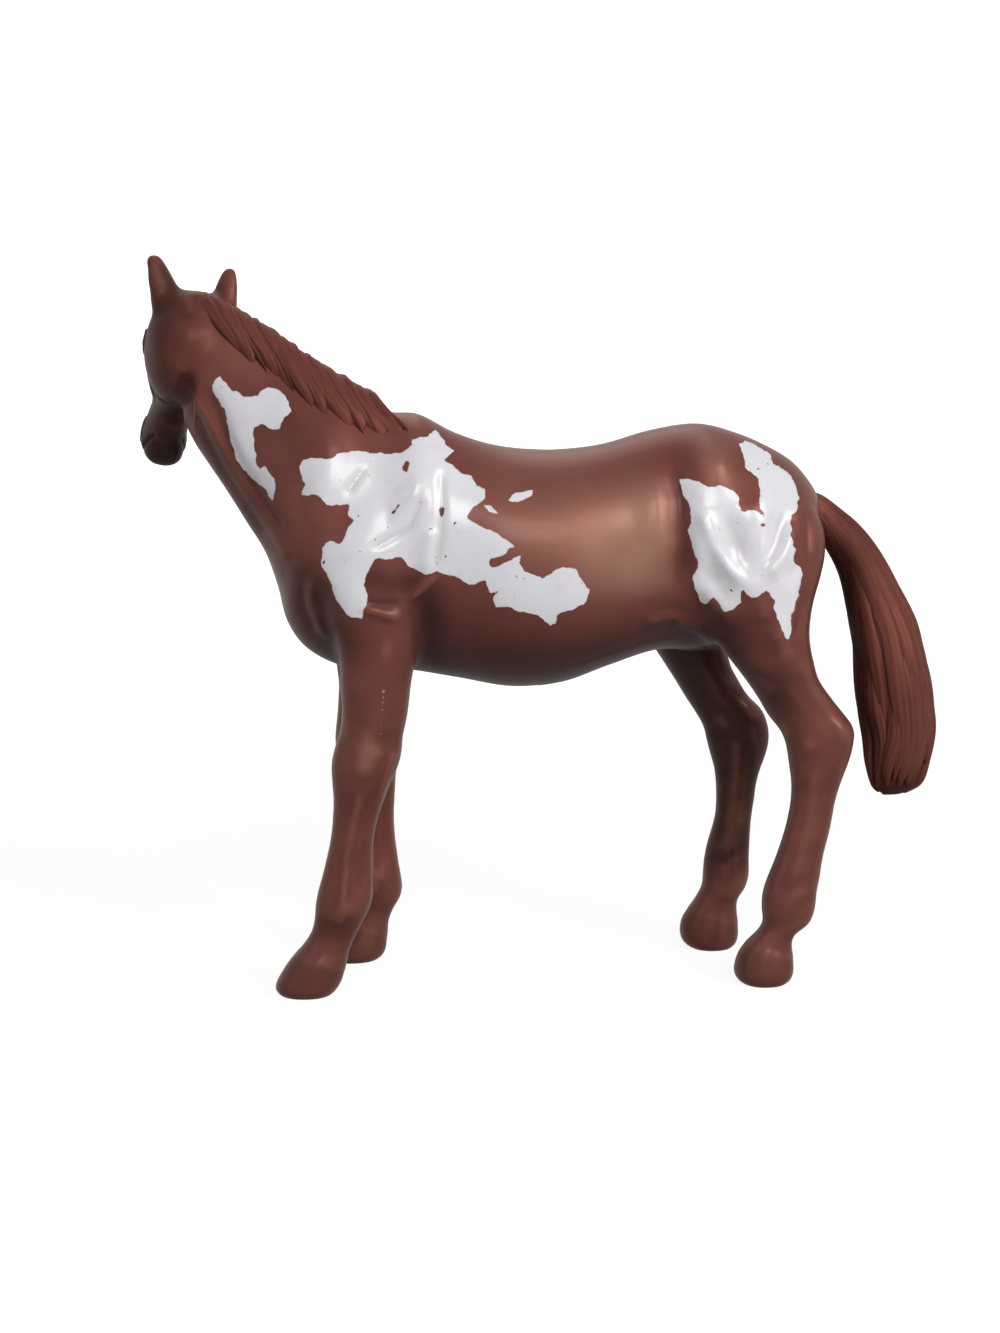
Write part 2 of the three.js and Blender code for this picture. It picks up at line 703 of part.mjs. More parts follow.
// How far round the neck a strand reaches when it hangs down by a length.
function turnFor(t, drop) {
  const depth = trunkSkin(t, 0).distanceTo(trunkSkin(t, Math.PI)) * neckWidestShare;
  return Math.acos(Math.max(1 - drop / depth, 0));
}

// A point of the mane: its way along the crest, its way down the locks, and on which face it lies.
// The inner face starts on the skin of the neck, and is cut back from it afterwards.
function manePoint(along, down, outer) {
  const [start, end] = maneEndShares;
  const lock = (end - start) / maneLocks;
  const t = start + along * (end - start) - down * lockSlantShare * lock;
  const swell = Math.abs(Math.sin(Math.PI * along * maneLocks)) ** lockRoundness;
  const drop = maneDrop * maneFall(along).x * (1 - lockShortShare * (1 - swell));
  const over = turnFor(t, maneOverShare * maneDrop);
  const turn = over - down * (over + turnFor(t, drop));
  const rounding = 1 - edgeThinShare * (2 * down - 1) ** edgeSquareness;
  const thickness = maneThickness * rounding * (1 - lockThinShare * (1 - swell));
  return trunkSkin(t, turn, outer ? bondGap + thickness : 0);
}

function maneForm() {
  const rings = maneLocks * ringsPerLock;
  return closedTube(rings, 2 * (maneStrips + 1), (ring, side) => {
    const along = ring / rings;
    const outer = side <= maneStrips;
    const down = outer ? side / maneStrips : (2 * maneStrips + 1 - side) / maneStrips;
    return manePoint(along, down, outer);
  });
}

// The tongue under the mane follows the crest inside the neck, and with grow makes its groove.
function maneTongue(grow = 0) {
  const [start, end] = tongueEndShares;
  const count = tongueRings / 2;
  const stations = [...Array(count + 1).keys()].map((i) => {
    const t = start + (i / count) * (end - start);
    const crest = trunkSkin(t, 0, bondGap + maneThickness / 4);
    const bottom = trunkSkin(t, 0, -maneTongueDepth);
    return {
      first: [crest.x, crest.z],
      last: [bottom.x, bottom.z],
      half: maneTongueWidth / 2,
      y: crest.y,
      corner: 0,
    };
  });
  return loft(stations, tongueRings, tongueSides, { grow });
}

const figure = new THREE.Group();
function addPiece(name, solid) {
  const mesh = new THREE.Mesh(geometryOf(solid), paintedPlastic);
  mesh.name = name;
  figure.add(mesh);
}

const upperLegs = Object.values(legs).map(upperLeg);
const whole = [loft(trunkStations, trunkRings, trunkSides), headForm(), ...upperLegs];
const uncut = whole.reduce((sum, solid) => sum.add(solid));
const sockets = [
  ...Object.values(legs).map((leg) => legPlug(leg, plugClearance)),
  headPlug(plugClearance),
  tailForm(bondGap),
  tailPlug(plugClearance),
  maneTongue(plugClearance),
];
addPiece(
  "trunk",
  sockets.reduce((rest, socket) => rest.subtract(socket), uncut.intersect(behindSeam())),
);
for (const [name, leg] of Object.entries(legs)) addPiece(name, lowerLeg(leg).add(legPlug(leg)));
addPiece("head", uncut.intersect(aheadOfSeam()).add(headPlug()));
const skullRoom = headSkull(bondGap).add(ear(-1, bondGap)).transform(headFrame.elements);
const neckRoom = loft(trunkStations, trunkRings, trunkSides, { grow: bondGap });
addPiece("mane", maneForm().subtract(neckRoom).add(maneTongue()).subtract(skullRoom));
addPiece("tail", tailForm().add(tailPlug()));

// The origin lies under the middle of the whole figure.
const middle = new THREE.Box3().setFromObject(figure).getCenter(new THREE.Vector3());
figure.position.set(-middle.x, -middle.y, 0);

export default figure;
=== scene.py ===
import math

import bmesh
import bpy
import numpy as np
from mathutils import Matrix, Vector


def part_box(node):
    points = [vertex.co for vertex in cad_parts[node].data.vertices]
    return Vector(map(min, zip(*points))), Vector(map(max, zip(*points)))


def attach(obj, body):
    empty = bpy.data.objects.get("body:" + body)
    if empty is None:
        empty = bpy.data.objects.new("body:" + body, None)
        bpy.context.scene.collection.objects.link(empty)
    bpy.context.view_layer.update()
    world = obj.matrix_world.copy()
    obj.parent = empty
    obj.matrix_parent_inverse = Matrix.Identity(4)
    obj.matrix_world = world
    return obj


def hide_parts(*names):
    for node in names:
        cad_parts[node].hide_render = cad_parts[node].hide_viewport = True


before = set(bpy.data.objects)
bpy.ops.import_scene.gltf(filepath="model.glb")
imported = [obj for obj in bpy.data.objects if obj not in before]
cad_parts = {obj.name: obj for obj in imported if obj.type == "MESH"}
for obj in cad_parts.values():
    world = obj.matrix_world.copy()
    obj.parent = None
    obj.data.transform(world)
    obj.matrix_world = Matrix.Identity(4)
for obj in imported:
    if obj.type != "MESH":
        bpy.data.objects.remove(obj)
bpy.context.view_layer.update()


# The place where the figure stands: a pale floor, four soft lamps round it and the camera.
# Sizes here are in metres, with the figure facing -X and its near (left) side facing -Y.

BODY_LENGTH = 0.080  # point of shoulder to point of buttock
WITHERS_HEIGHT = 0.086
RUMP_REACH_SHARE = 0.5279  # of the body length, from the middle of the trunk to its hindmost point
PHOTO_SIZE_PIXELS = (1000, 1333)
PHOTO_FOCAL_PIXELS = 3000
SENSOR = 36
CAMERA_TURN = math.radians(-4.8)
CAMERA_RISE = math.radians(10)
CAMERA_DISTANCE = 0.45
AIM_FROM_MIDDLE = (-0.0055, 0, 0.047)

trunk_low, trunk_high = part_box("trunk")
middle_x = trunk_high.x - RUMP_REACH_SHARE * BODY_LENGTH
middle_y = (trunk_low.y + trunk_high.y) / 2
middle = np.array([middle_x, middle_y, 0])
aim = middle + AIM_FROM_MIDDLE

sight = np.array([
    -math.sin(CAMERA_TURN) * math.cos(CAMERA_RISE),
    math.cos(CAMERA_TURN) * math.cos(CAMERA_RISE),
    -math.sin(CAMERA_RISE),
])
sight_right = np.array([math.cos(CAMERA_TURN), math.sin(CAMERA_TURN), 0])
sight_up = np.cross(sight_right, sight)


def photo_pixels(points):
    """Where points fall in the photograph: their offsets across and down the line of sight, times
    the focal length over their depth along it, from the middle of the picture."""
    offsets = points - aim
    depth = CAMERA_DISTANCE + offsets @ sight
    across = PHOTO_SIZE_PIXELS[0] / 2 + PHOTO_FOCAL_PIXELS * (offsets @ sight_right) / depth
    down = PHOTO_SIZE_PIXELS[1] / 2 - PHOTO_FOCAL_PIXELS * (offsets @ sight_up) / depth
    return np.stack([across, down], axis=-1)


def new_object(name, data):
    """An object at the origin that holds a mesh, a lamp or a camera."""
    item = bpy.data.objects.new(name, data)
    bpy.context.scene.collection.objects.link(item)
    return item


camera = new_object("camera", bpy.data.cameras.new("camera"))
camera.data.sensor_width = SENSOR
camera.data.lens = PHOTO_FOCAL_PIXELS * SENSOR / max(PHOTO_SIZE_PIXELS)
camera.data.clip_start = 0.01
camera.location = aim - CAMERA_DISTANCE * sight
camera.rotation_euler = Vector(sight).to_track_quat("-Z", "Y").to_euler()
bpy.context.scene.camera = camera
bpy.context.scene.view_settings.view_transform = "Standard"

# Square lamps that face the figure: degrees round it and up, distance, size, watts and colour.
LAMPS = [
    ("key_light", 43, 30, 0.9, 0.42, 6.4, (1, 0.985, 0.96)),
    ("front_light", 4, 32, 0.9, 0.26, 2.5, (1, 0.99, 0.98)),
    ("left_light", -62, 30, 1.0, 0.7, 1.5, (0.95, 0.97, 1)),
    ("back_light", 190, 50, 1.0, 0.7, 2.6, (1, 1, 1)),
]
for name, degrees_round, degrees_up, distance, size, watts, color in LAMPS:
    lamp = bpy.data.lights.new(name, "AREA")
    lamp.size = size
    lamp.energy = watts
    lamp.color = color
    turn, up = math.radians(degrees_round), math.radians(degrees_up)
    towards = Vector((math.sin(turn) * math.cos(up), -math.cos(turn) * math.cos(up), math.sin(up)))
    panel = new_object(name, lamp)
    panel.location = Vector(aim) + distance * towards
    panel.rotation_euler = (-towards).to_track_quat("-Z", "Y").to_euler()

FLOOR_SIZE = 6
FLOOR_COLOR = (0.35, 0.35, 0.35, 1)
FLOOR_LIFT = 0.7  # share of plain white that the camera sees in the floor near the figure
FLOOR_WHITE = 1.3
FLOOR_FADE = (0.12, 0.42)  # from the middle outwards, the floor turns plain white
WORLD_LIGHT = 0.08

floor_mesh = bpy.data.meshes.new("floor")
floor_corners = [(x * FLOOR_SIZE / 2, y * FLOOR_SIZE / 2, 0)
                 for x, y in ((-1, -1), (1, -1), (1, 1), (-1, 1))]
floor_mesh.from_pydata(floor_corners, [], [(0, 1, 2, 3)])
floor = new_object("floor", floor_mesh)


class Paint:
    """A node tree with short ways to add to it."""

    def __init__(self, tree):
        self.tree = tree

    def put(self, socket, value):
        """Joins a socket to another one, or sets it to a plain value."""
        if isinstance(value, bpy.types.NodeSocket):
            self.tree.links.new(value, socket)
        else:
            socket.default_value = value

    def add(self, kind, inputs=None, **settings):
        """A node with its settings and its inputs."""
        node = self.tree.nodes.new("ShaderNode" + kind)
        for name, value in settings.items():
            setattr(node, name, value)
        for name, value in (inputs or {}).items():
            self.put(node.inputs[name], value)
        return node

    def math(self, operation, first, second, clamp=False):
        """The result of an operation on two values or sockets."""
        return self.add("Math", {0: first, 1: second}, operation=operation, use_clamp=clamp).outputs[0]

    def plus(self, first, second):
        """The sum."""
        return self.math("ADD", first, second)

    def minus(self, first, second, clamp=False):
        """The difference."""
        return self.math("SUBTRACT", first, second, clamp)

    def times(self, first, second):
        """The product."""
        return self.math("MULTIPLY", first, second)

    def step(self, value, low, high, least=0):
        """A soft step from a least share at a low value to 1 at a high one."""
        inputs = {"Value": value, "From Min": low, "From Max": high, "To Min": least}
        return self.add("MapRange", inputs, interpolation_type="SMOOTHSTEP").outputs["Result"]

    def color(self, share, first, second):
        """A colour between two, by a share."""
        return self.add("Mix", {0: share, 6: first, 7: second}, data_type="RGBA").outputs[2]

    def number(self, share, first, second):
        """A number between two, by a share."""
        return self.add("Mix", {0: share, 2: first, 3: second}, data_type="FLOAT").outputs[0]

    def noise(self, place, scale, detail, roughness=0.5):
        """Soft noise from 0 to 1, with so many spots to a metre."""
        inputs = {"Vector": place, "Scale": scale, "Detail": detail, "Roughness": roughness}
        return self.add("TexNoise", inputs).outputs["Fac"]

    def value(self, name):
        """The number that a mesh holds at each point by a name."""
        return self.add("Attribute", attribute_name=name).outputs["Fac"]


def seen_directly(paint):
    """Socket that is 1 for rays straight from the camera, and in a gloss or through glass."""
    path = paint.add("LightPath").outputs
    either = paint.math("MAXIMUM", path["Is Camera Ray"], path["Is Transmission Ray"])
    return paint.math("MAXIMUM", either, path["Is Glossy Ray"])


floor_paint = bpy.data.materials.new("pale_floor")
floor_paint.use_nodes = True
paint = Paint(floor_paint.node_tree)
ground = paint.tree.nodes["Principled BSDF"]
ground.inputs["Base Color"].default_value = FLOOR_COLOR
ground.inputs["Roughness"].default_value = 1
white = paint.add("Emission", {"Strength": FLOOR_WHITE})
away = paint.add("VectorMath", {0: paint.add("TexCoord").outputs["Object"]}, operation="LENGTH")
lift = paint.step(away.outputs["Value"], *FLOOR_FADE, FLOOR_LIFT)
share = paint.times(seen_directly(paint), lift)
blend = paint.add("MixShader", {"Fac": share, 1: ground.outputs[0], 2: white.outputs[0]})
paint.put(paint.tree.nodes["Material Output"].inputs["Surface"], blend.outputs[0])
floor_mesh.materials.append(floor_paint)

world = bpy.data.worlds.new("studio")
bpy.context.scene.world = world
world.use_nodes = True
paint = Paint(world.node_tree)
background = paint.tree.nodes["Background"].inputs
background["Color"].default_value = (1, 1, 1, 1)
strength = paint.add("MapRange", {"Value": seen_directly(paint), "To Min": WORLD_LIGHT, "To Max": 1})
paint.put(background["Strength"], strength.outputs["Result"])


# The casting: trunk, neck, legs and skull are one sculpted form, which the moulds part into pieces.
# It is solid PVC. Here it is made whole first, so that its surface runs on across each joint.

BARREL_WIDTH = 0.030
NECK_REACH = 0.031
NECK_RISE = 0.0168
NECK_BEND = 0.0095
THROAT_REACH = 0.0163
THROAT_RISE = 0.0315
SHOULDER_WIDTH = 0.026
WITHERS_ALONG_SHARE = -0.256

# Rump, barrel and chest: top line along and height, underside along and height, half width,
# as shares of the body length, the withers' height and the barrel's width.
BARREL_SHARES = np.array([
    [0.531, 0.832, 0.522, 0.757, 0.08], [0.515, 0.861, 0.5, 0.688, 0.25], [0.481, 0.899, 0.462, 0.642, 0.35],
    [0.438, 0.925, 0.419, 0.607, 0.427], [0.375, 0.951, 0.362, 0.584, 0.47], [0.3, 0.968, 0.3, 0.573, 0.475],
    [0.212, 0.957, 0.225, 0.576, 0.45], [0.119, 0.933, 0.131, 0.55, 0.465],
    [0.025, 0.925, 0.044, 0.523, 0.5], [-0.069, 0.932, -0.05, 0.516, 0.5],
    [-0.15, 0.955, -0.15, 0.532, 0.46], [-0.219, 0.988, -0.25, 0.547, 0.435],
])
# Root of the neck: crest as shares of the neck's reach and rise, breast as along and height,
# half width as a share of the shoulders'.
BREAST_SHARES = np.array([
    [0.04, -0.04, -0.35, 0.55, 0.465], [0.145, 0.03, -0.425, 0.5815, 0.43],
    [0.258, 0.15, -0.465, 0.631, 0.4],
])
# Neck: crest as before, throat as shares of its reach and rise, half width, share of the bend.
NECK_SHARES = np.array([
    [0.355, 0.25, 0.086, 0.171, 0.352, 0.04], [0.468, 0.39, 0.196, 0.33, 0.308, 0.12],
    [0.581, 0.54, 0.356, 0.463, 0.275, 0.24], [0.694, 0.67, 0.54, 0.616, 0.262, 0.35],
    [0.806, 0.79, 0.718, 0.752, 0.266, 0.5], [0.919, 0.88, 0.871, 0.87, 0.262, 0.68],
    [1.01, 0.84, 1, 1, 0.22, 0.85],
])
BARREL_WIDEST_SHARE = 0.52
NECK_WIDEST_SHARE = 0.6
BARREL_CORNER_SHARE = 0.94


def columns(*values):
    """Stations of a loft from columns: the two ends of each section in the side view, its half
    width, its middle plane, how far down it is widest and how full its corners are."""
    count = max(np.size(value) for value in values)
    return np.stack([np.broadcast_to(value, count) for value in values], axis=1).astype(float)


def trunk_rows():
    """The stations of the trunk from rump to poll, from the share tables."""
    b, r, n = BARREL_SHARES.T, BREAST_SHARES.T, NECK_SHARES.T
    withers_x = middle_x + WITHERS_ALONG_SHARE * BODY_LENGTH
    barrel = columns(middle_x + b[0] * BODY_LENGTH, b[1] * WITHERS_HEIGHT,
                     middle_x + b[2] * BODY_LENGTH, b[3] * WITHERS_HEIGHT,
                     b[4] * BARREL_WIDTH, middle_y, BARREL_WIDEST_SHARE, BARREL_CORNER_SHARE)
    breast = columns(withers_x - r[0] * NECK_REACH, WITHERS_HEIGHT + r[1] * NECK_RISE,
                     middle_x + r[2] * BODY_LENGTH, r[3] * WITHERS_HEIGHT,
                     r[4] * SHOULDER_WIDTH, middle_y, NECK_WIDEST_SHARE, 1)
    breast_x, breast_z = breast[-1, 2:4]
    neck = columns(withers_x - n[0] * NECK_REACH, WITHERS_HEIGHT + n[1] * NECK_RISE,
                   breast_x - n[2] * THROAT_REACH, breast_z + n[3] * THROAT_RISE,
                   n[4] * SHOULDER_WIDTH, middle_y + n[5] * NECK_BEND, NECK_WIDEST_SHARE, 1)
    return np.vstack([barrel, breast, neck])


def through(rows, t):
    """Catmull-Rom curve through rows of numbers, with t from 0 at the first to 1 at the last. Each
    span is a cubic whose slope at a row is half the difference of the rows before and after it."""
    before = 2 * rows[:1] - rows[1:2]
    after = 2 * rows[-1:] - rows[-2:-1]
    padded = np.vstack([before, rows, after])
    place = np.clip(t, 0, 1) * (len(rows) - 1)
    span = np.minimum(place.astype(int), len(rows) - 2)
    part = (place - span)[..., None]
    a, b, c, d = (padded[span + step] for step in range(4))
    slope, bend, twist = c - a, 2 * a - 5 * b + 4 * c - d, 3 * b - a - 3 * c + d
    return b + (slope * part + bend * part**2 + twist * part**3) / 2


def skin(rows, t, turn, lift=0):
    """The skin of a loft: round each section, the way from its widest point to its first or its
    last end times the cosine of the turn, and the half width times the sine, both raised to the
    corner power, and lift is added to both."""
    row = through(rows, t)
    first, last, half, plane = row[..., 0:2], row[..., 2:4], row[..., 4], row[..., 5]
    widest, corner = row[..., 6:7], row[..., 7]
    centre = first + widest * (last - first)
    up, out = np.cos(turn), np.sin(turn)
    reach = np.where(up[..., None] > 0, first, last) - centre
    length = np.linalg.norm(reach, axis=-1)
    scale = np.abs(up) ** corner * (length + lift) / length
    flat = centre + reach * scale[..., None]
    side = plane + np.sign(out) * np.abs(out) ** corner * (half + lift)
    return np.stack([flat[..., 0], side, flat[..., 1]], axis=-1)


def tube_faces(rings, sides):
    """Faces of a tube over a grid of rings: a quad between neighbours on two rings, and a fan to a
    hub at each end. The two hubs are the last two vertices."""
    numbers = np.arange(rings * sides).reshape(rings, sides)
    following = np.roll(numbers, -1, axis=1)
    quads = np.stack([numbers[:-1], following[:-1], following[1:], numbers[1:]], axis=-1)
    hub = np.full(sides, rings * sides)
    fans = np.vstack([np.stack([hub, following[0], numbers[0]], axis=-1),
                      np.stack([hub + 1, numbers[-1], following[-1]], axis=-1)])
    return quads.reshape(-1, 4), fans


def tubes_mesh(name, grids):
    """One mesh of several closed tubes. A tube's faces are turned round where the volume within it,
    a sixth of the sum of a · (b × c) over its triangles, would come out negative."""
    vertices, faces, count = [], [], 0
    for grid in grids:
        quads, fans = tube_faces(*grid.shape[:2])
        points = np.vstack([grid.reshape(-1, 3), grid[0].mean(axis=0), grid[-1].mean(axis=0)])
        triangles = np.vstack([quads[:, [0, 1, 2]], quads[:, [0, 2, 3]], fans])
        a, b, c = (points[triangles[:, corner]] - points[0] for corner in range(3))
        way = 1 if np.sum(a * np.cross(b, c)) > 0 else -1
        faces += (quads[:, ::way] + count).tolist() + (fans[:, ::way] + count).tolist()
        vertices.append(points)
        count += len(points)
    mesh = bpy.data.meshes.new(name)
    mesh.from_pydata(np.vstack(vertices).tolist(), [], faces)
    return mesh


def round_grid(rings, sides):
    """Shares of the way along a tube and turns round it, as two grids."""
    turns = np.linspace(0, 2 * np.pi, sides, endpoint=False)
    return np.meshgrid(np.linspace(0, 1, rings), turns, indexing="ij")


def loft_grid(rows, rings, sides):
    """The skin of a loft as a grid of points."""
    return skin(rows, *round_grid(rings, sides))


# Legs: share of the height (from the joint up for the upper rows, from the ground for the lower),
# middle along the body, depth, width, and how far apart, as shares of the leg's own sizes.
SHOULDER_SHARES = [
    [0, -0.307, 1, 1, 1.01], [0.11, -0.303, 1.09, 1.04, 0.99], [0.23, -0.3, 1.3, 1.18, 0.91],
    [0.36, -0.308, 1.66, 1.36, 0.8], [0.51, -0.314, 2.02, 1.58, 0.66], [0.66, -0.305, 2.1, 1.64, 0.55],
    [0.84, -0.275, 1.85, 1.44, 0.43], [1, -0.25, 1.2, 0.9, 0.32],
]
NEAR_THIGH_SHARES = [
    [0, 0.426, 1.02, 1, 1], [0.1, 0.409, 1.17, 1.04, 0.98], [0.2, 0.395, 1.36, 1.12, 0.94],
    [0.33, 0.378, 1.7, 1.3, 0.86], [0.47, 0.374, 1.95, 1.46, 0.77], [0.6, 0.378, 2.02, 1.5, 0.69],
    [0.73, 0.388, 1.84, 1.38, 0.61], [0.87, 0.397, 1.4, 1.16, 0.53], [1, 0.394, 0.8, 0.86, 0.43],
]
OFF_THIGH_SHARES = [
    [0, 0.303, 0.95, 1, 1.02], [0.1, 0.318, 1.2, 1.04, 0.99], [0.2, 0.335, 1.52, 1.12, 0.94],
    [0.33, 0.352, 1.8, 1.3, 0.86], [0.47, 0.368, 1.96, 1.46, 0.77], *NEAR_THIGH_SHARES[5:],
]
NEAR_FORE_SHARES = [
    [0.935, -0.308, 0.93, 0.94, 1.01], [0.88, -0.311, 0.89, 0.88, 1], [0.83, -0.317, 0.88, 0.83, 0.99],
    [0.785, -0.322, 0.93, 0.84, 0.99], [0.738, -0.328, 0.92, 0.84, 0.99], [0.688, -0.334, 0.81, 0.8, 0.99],
    [0.634, -0.339, 0.7, 0.7, 0.99], [0.57, -0.346, 0.61, 0.61, 0.99], [0.495, -0.353, 0.58, 0.58, 1],
    [0.43, -0.358, 0.63, 0.58, 1], [0.376, -0.362, 0.69, 0.62, 1.01], [0.323, -0.366, 0.76, 0.7, 1.01],
    [0.28, -0.371, 0.75, 0.72, 1.02], [0.237, -0.378, 0.67, 0.66, 1.02], [0.194, -0.388, 0.62, 0.61, 1.03],
    [0.15, -0.402, 0.66, 0.68, 1.03], [0.108, -0.416, 0.78, 0.81, 1.04], [0.054, -0.43, 0.88, 0.93, 1.04],
    [0.019, -0.44, 0.86, 0.96, 1.04], [0, -0.442, 0.72, 0.83, 1.04],
]
OFF_FORE_SHARES = [
    [0.925, -0.309, 0.88, 0.92, 0.99], [0.86, -0.311, 0.87, 0.86, 0.98], [0.796, -0.313, 0.89, 0.82, 0.97],
    [0.742, -0.314, 0.92, 0.84, 0.97], [0.688, -0.313, 0.87, 0.84, 0.97], [0.634, -0.311, 0.77, 0.77, 0.96],
    [0.58, -0.306, 0.66, 0.66, 0.96], [0.505, -0.304, 0.59, 0.58, 0.96], [0.43, -0.304, 0.6, 0.58, 0.96],
    [0.366, -0.303, 0.65, 0.61, 0.96], [0.312, -0.304, 0.73, 0.69, 0.96], [0.258, -0.302, 0.78, 0.73, 0.96],
    [0.215, -0.301, 0.74, 0.69, 0.96], [0.172, -0.308, 0.63, 0.62, 0.96], [0.129, -0.32, 0.66, 0.69, 0.96],
    [0.086, -0.331, 0.8, 0.81, 0.96], [0.043, -0.34, 0.91, 0.93, 0.96], [0.017, -0.346, 0.91, 0.95, 0.96],
    [0, -0.348, 0.75, 0.81, 0.96],
]
NEAR_HIND_SHARES = [
    [0.94, 0.446, 0.89, 0.88, 0.98], [0.88, 0.471, 0.88, 0.76, 0.95], [0.837, 0.489, 0.92, 0.68, 0.94],
    [0.79, 0.511, 0.91, 0.66, 0.94], [0.75, 0.518, 0.84, 0.67, 0.94], [0.702, 0.518, 0.76, 0.65, 0.94],
    [0.653, 0.515, 0.66, 0.6, 0.95], [0.612, 0.512, 0.58, 0.56, 0.95], [0.561, 0.507, 0.53, 0.53, 0.96],
    [0.51, 0.502, 0.53, 0.52, 0.96], [0.465, 0.496, 0.54, 0.52, 0.97], [0.418, 0.488, 0.55, 0.52, 0.97],
    [0.371, 0.48, 0.58, 0.54, 0.98], [0.327, 0.473, 0.63, 0.57, 0.98], [0.282, 0.466, 0.65, 0.62, 0.98],
    [0.235, 0.464, 0.65, 0.65, 0.98], [0.188, 0.46, 0.56, 0.6, 0.98], [0.155, 0.442, 0.46, 0.54, 0.98],
    [0.122, 0.428, 0.55, 0.58, 0.98], [0.09, 0.422, 0.66, 0.69, 0.98], [0.045, 0.419, 0.73, 0.8, 0.98],
    [0.016, 0.419, 0.68, 0.82, 0.98], [0, 0.419, 0.5, 0.69, 0.98],
]
OFF_HIND_SHARES = [
    [0.94, 0.318, 0.84, 0.88, 1.04], [0.88, 0.339, 0.79, 0.78, 1.06], [0.816, 0.363, 0.79, 0.7, 1.08],
    [0.77, 0.386, 0.85, 0.67, 1.09], [0.72, 0.401, 0.82, 0.67, 1.1], [0.673, 0.406, 0.79, 0.66, 1.11],
    [0.624, 0.407, 0.69, 0.62, 1.12], [0.578, 0.406, 0.57, 0.57, 1.13], [0.529, 0.404, 0.5, 0.53, 1.13],
    [0.48, 0.403, 0.47, 0.52, 1.14], [0.43, 0.4, 0.45, 0.52, 1.14], [0.384, 0.396, 0.48, 0.52, 1.15],
    [0.335, 0.391, 0.53, 0.54, 1.15], [0.286, 0.388, 0.56, 0.58, 1.16], [0.237, 0.387, 0.58, 0.62, 1.16],
    [0.196, 0.383, 0.55, 0.62, 1.16], [0.155, 0.369, 0.53, 0.56, 1.16], [0.12, 0.361, 0.62, 0.6, 1.16],
    [0.085, 0.356, 0.72, 0.7, 1.16], [0.045, 0.355, 0.75, 0.8, 1.16], [0.016, 0.357, 0.68, 0.82, 1.16],
    [0, 0.359, 0.5, 0.69, 1.16],
]
LEG_CORNER_SHARE = 0.92
FORE_SEAM = 0.54 * WITHERS_HEIGHT
HIND_SEAM = 0.57 * WITHERS_HEIGHT
FORE = {"seam": FORE_SEAM, "depth": 0.0103, "width": 0.0094, "track": 0.019,
        "top": 0.915 * WITHERS_HEIGHT}
HIND = {"seam": HIND_SEAM, "depth": 0.0118, "width": 0.0104, "track": 0.0196,
        "top": 0.88 * WITHERS_HEIGHT}
LEGS = {
    "near_foreleg": {**FORE, "side": -1, "upper": SHOULDER_SHARES, "lower": NEAR_FORE_SHARES},
    "off_foreleg": {**FORE, "side": 1, "upper": SHOULDER_SHARES, "lower": OFF_FORE_SHARES},
    "near_hindleg": {**HIND, "side": -1, "upper": NEAR_THIGH_SHARES, "lower": NEAR_HIND_SHARES},
    "off_hindleg": {**HIND, "side": 1, "upper": OFF_THIGH_SHARES, "lower": OFF_HIND_SHARES},
}


def leg_rows(leg):
    """The stations of a whole leg, from the top of its muscle down to its sole."""
    upper, lower = np.array(leg["upper"][::-1]), np.array(leg["lower"])
    heights = np.concatenate([leg["seam"] + upper[:, 0] * (leg["top"] - leg["seam"]),
                              lower[:, 0] * leg["seam"]])
    _, along, depth, width, apart = np.vstack([upper, lower]).T
    x = middle_x + along * BODY_LENGTH
    reach = depth * leg["depth"] / 2
    return columns(x - reach, heights, x + reach, heights, width * leg["width"] / 2,
                   middle_y + leg["side"] * apart * leg["track"] / 2, 0.5, LEG_CORNER_SHARE)


# Head: along it, its face, its jaw and its half width, as shares of its length, depth and width.
HEAD_LENGTH = 0.0278
HEAD_DEPTH = 0.015
HEAD_WIDTH = 0.013
HEAD_YAW = math.radians(70)
HEAD_PITCH = math.radians(50)
HEAD_TILT = math.radians(14)
POLL_SHARES = (0.96, 0.955)  # of the neck's reach and rise
HEAD_SHARES = np.array([
    [-0.12, -0.2, -0.5, 0.14], [-0.07, -0.08, -0.72, 0.31], [0.015, 0.01, -0.87, 0.44],
    [0.09, 0.055, -0.955, 0.49], [0.18, 0.07, -0.985, 0.5], [0.27, 0.06, -0.955, 0.49],
    [0.36, 0.03, -0.88, 0.43], [0.45, -0.005, -0.77, 0.35], [0.54, -0.035, -0.68, 0.285],
    [0.63, -0.06, -0.62, 0.245], [0.72, -0.075, -0.61, 0.235], [0.81, -0.08, -0.64, 0.25],
    [0.885, -0.1, -0.67, 0.265], [0.95, -0.155, -0.65, 0.24], [0.99, -0.24, -0.56, 0.16],
])
HEAD_WIDEST_SHARE = 0.42
HEAD_CORNER_SHARE = 0.88
EAR_LENGTH = 0.0062
EAR_LONGER = 1.12  # the horse's left ear
EAR_WIDER = 1.3
EAR_WIDTH = 0.004
EAR_THICKNESS = 0.0032
EAR_HOLLOW = 0.001
EAR_SPLAY = math.radians(19)
EAR_LEAN = math.radians(14)
EAR_BACK = math.radians(38)
EAR_TWIST = math.radians(30)
EAR_PLACE_SHARES = (0, 0.33, -0.12)
EAR_SHARES = np.array([
    [-0.3, 1.2, 1.25], [0, 1.08, 1.1], [0.2, 1, 0.98], [0.45, 0.94, 0.82], [0.7, 0.78, 0.66],
    [0.9, 0.54, 0.5], [1, 0.24, 0.26],
])
TRUNK_GRID, LEG_GRID, SKULL_GRID, EAR_GRID = (420, 180), (320, 72), (160, 96), (60, 40)  # rings, sides


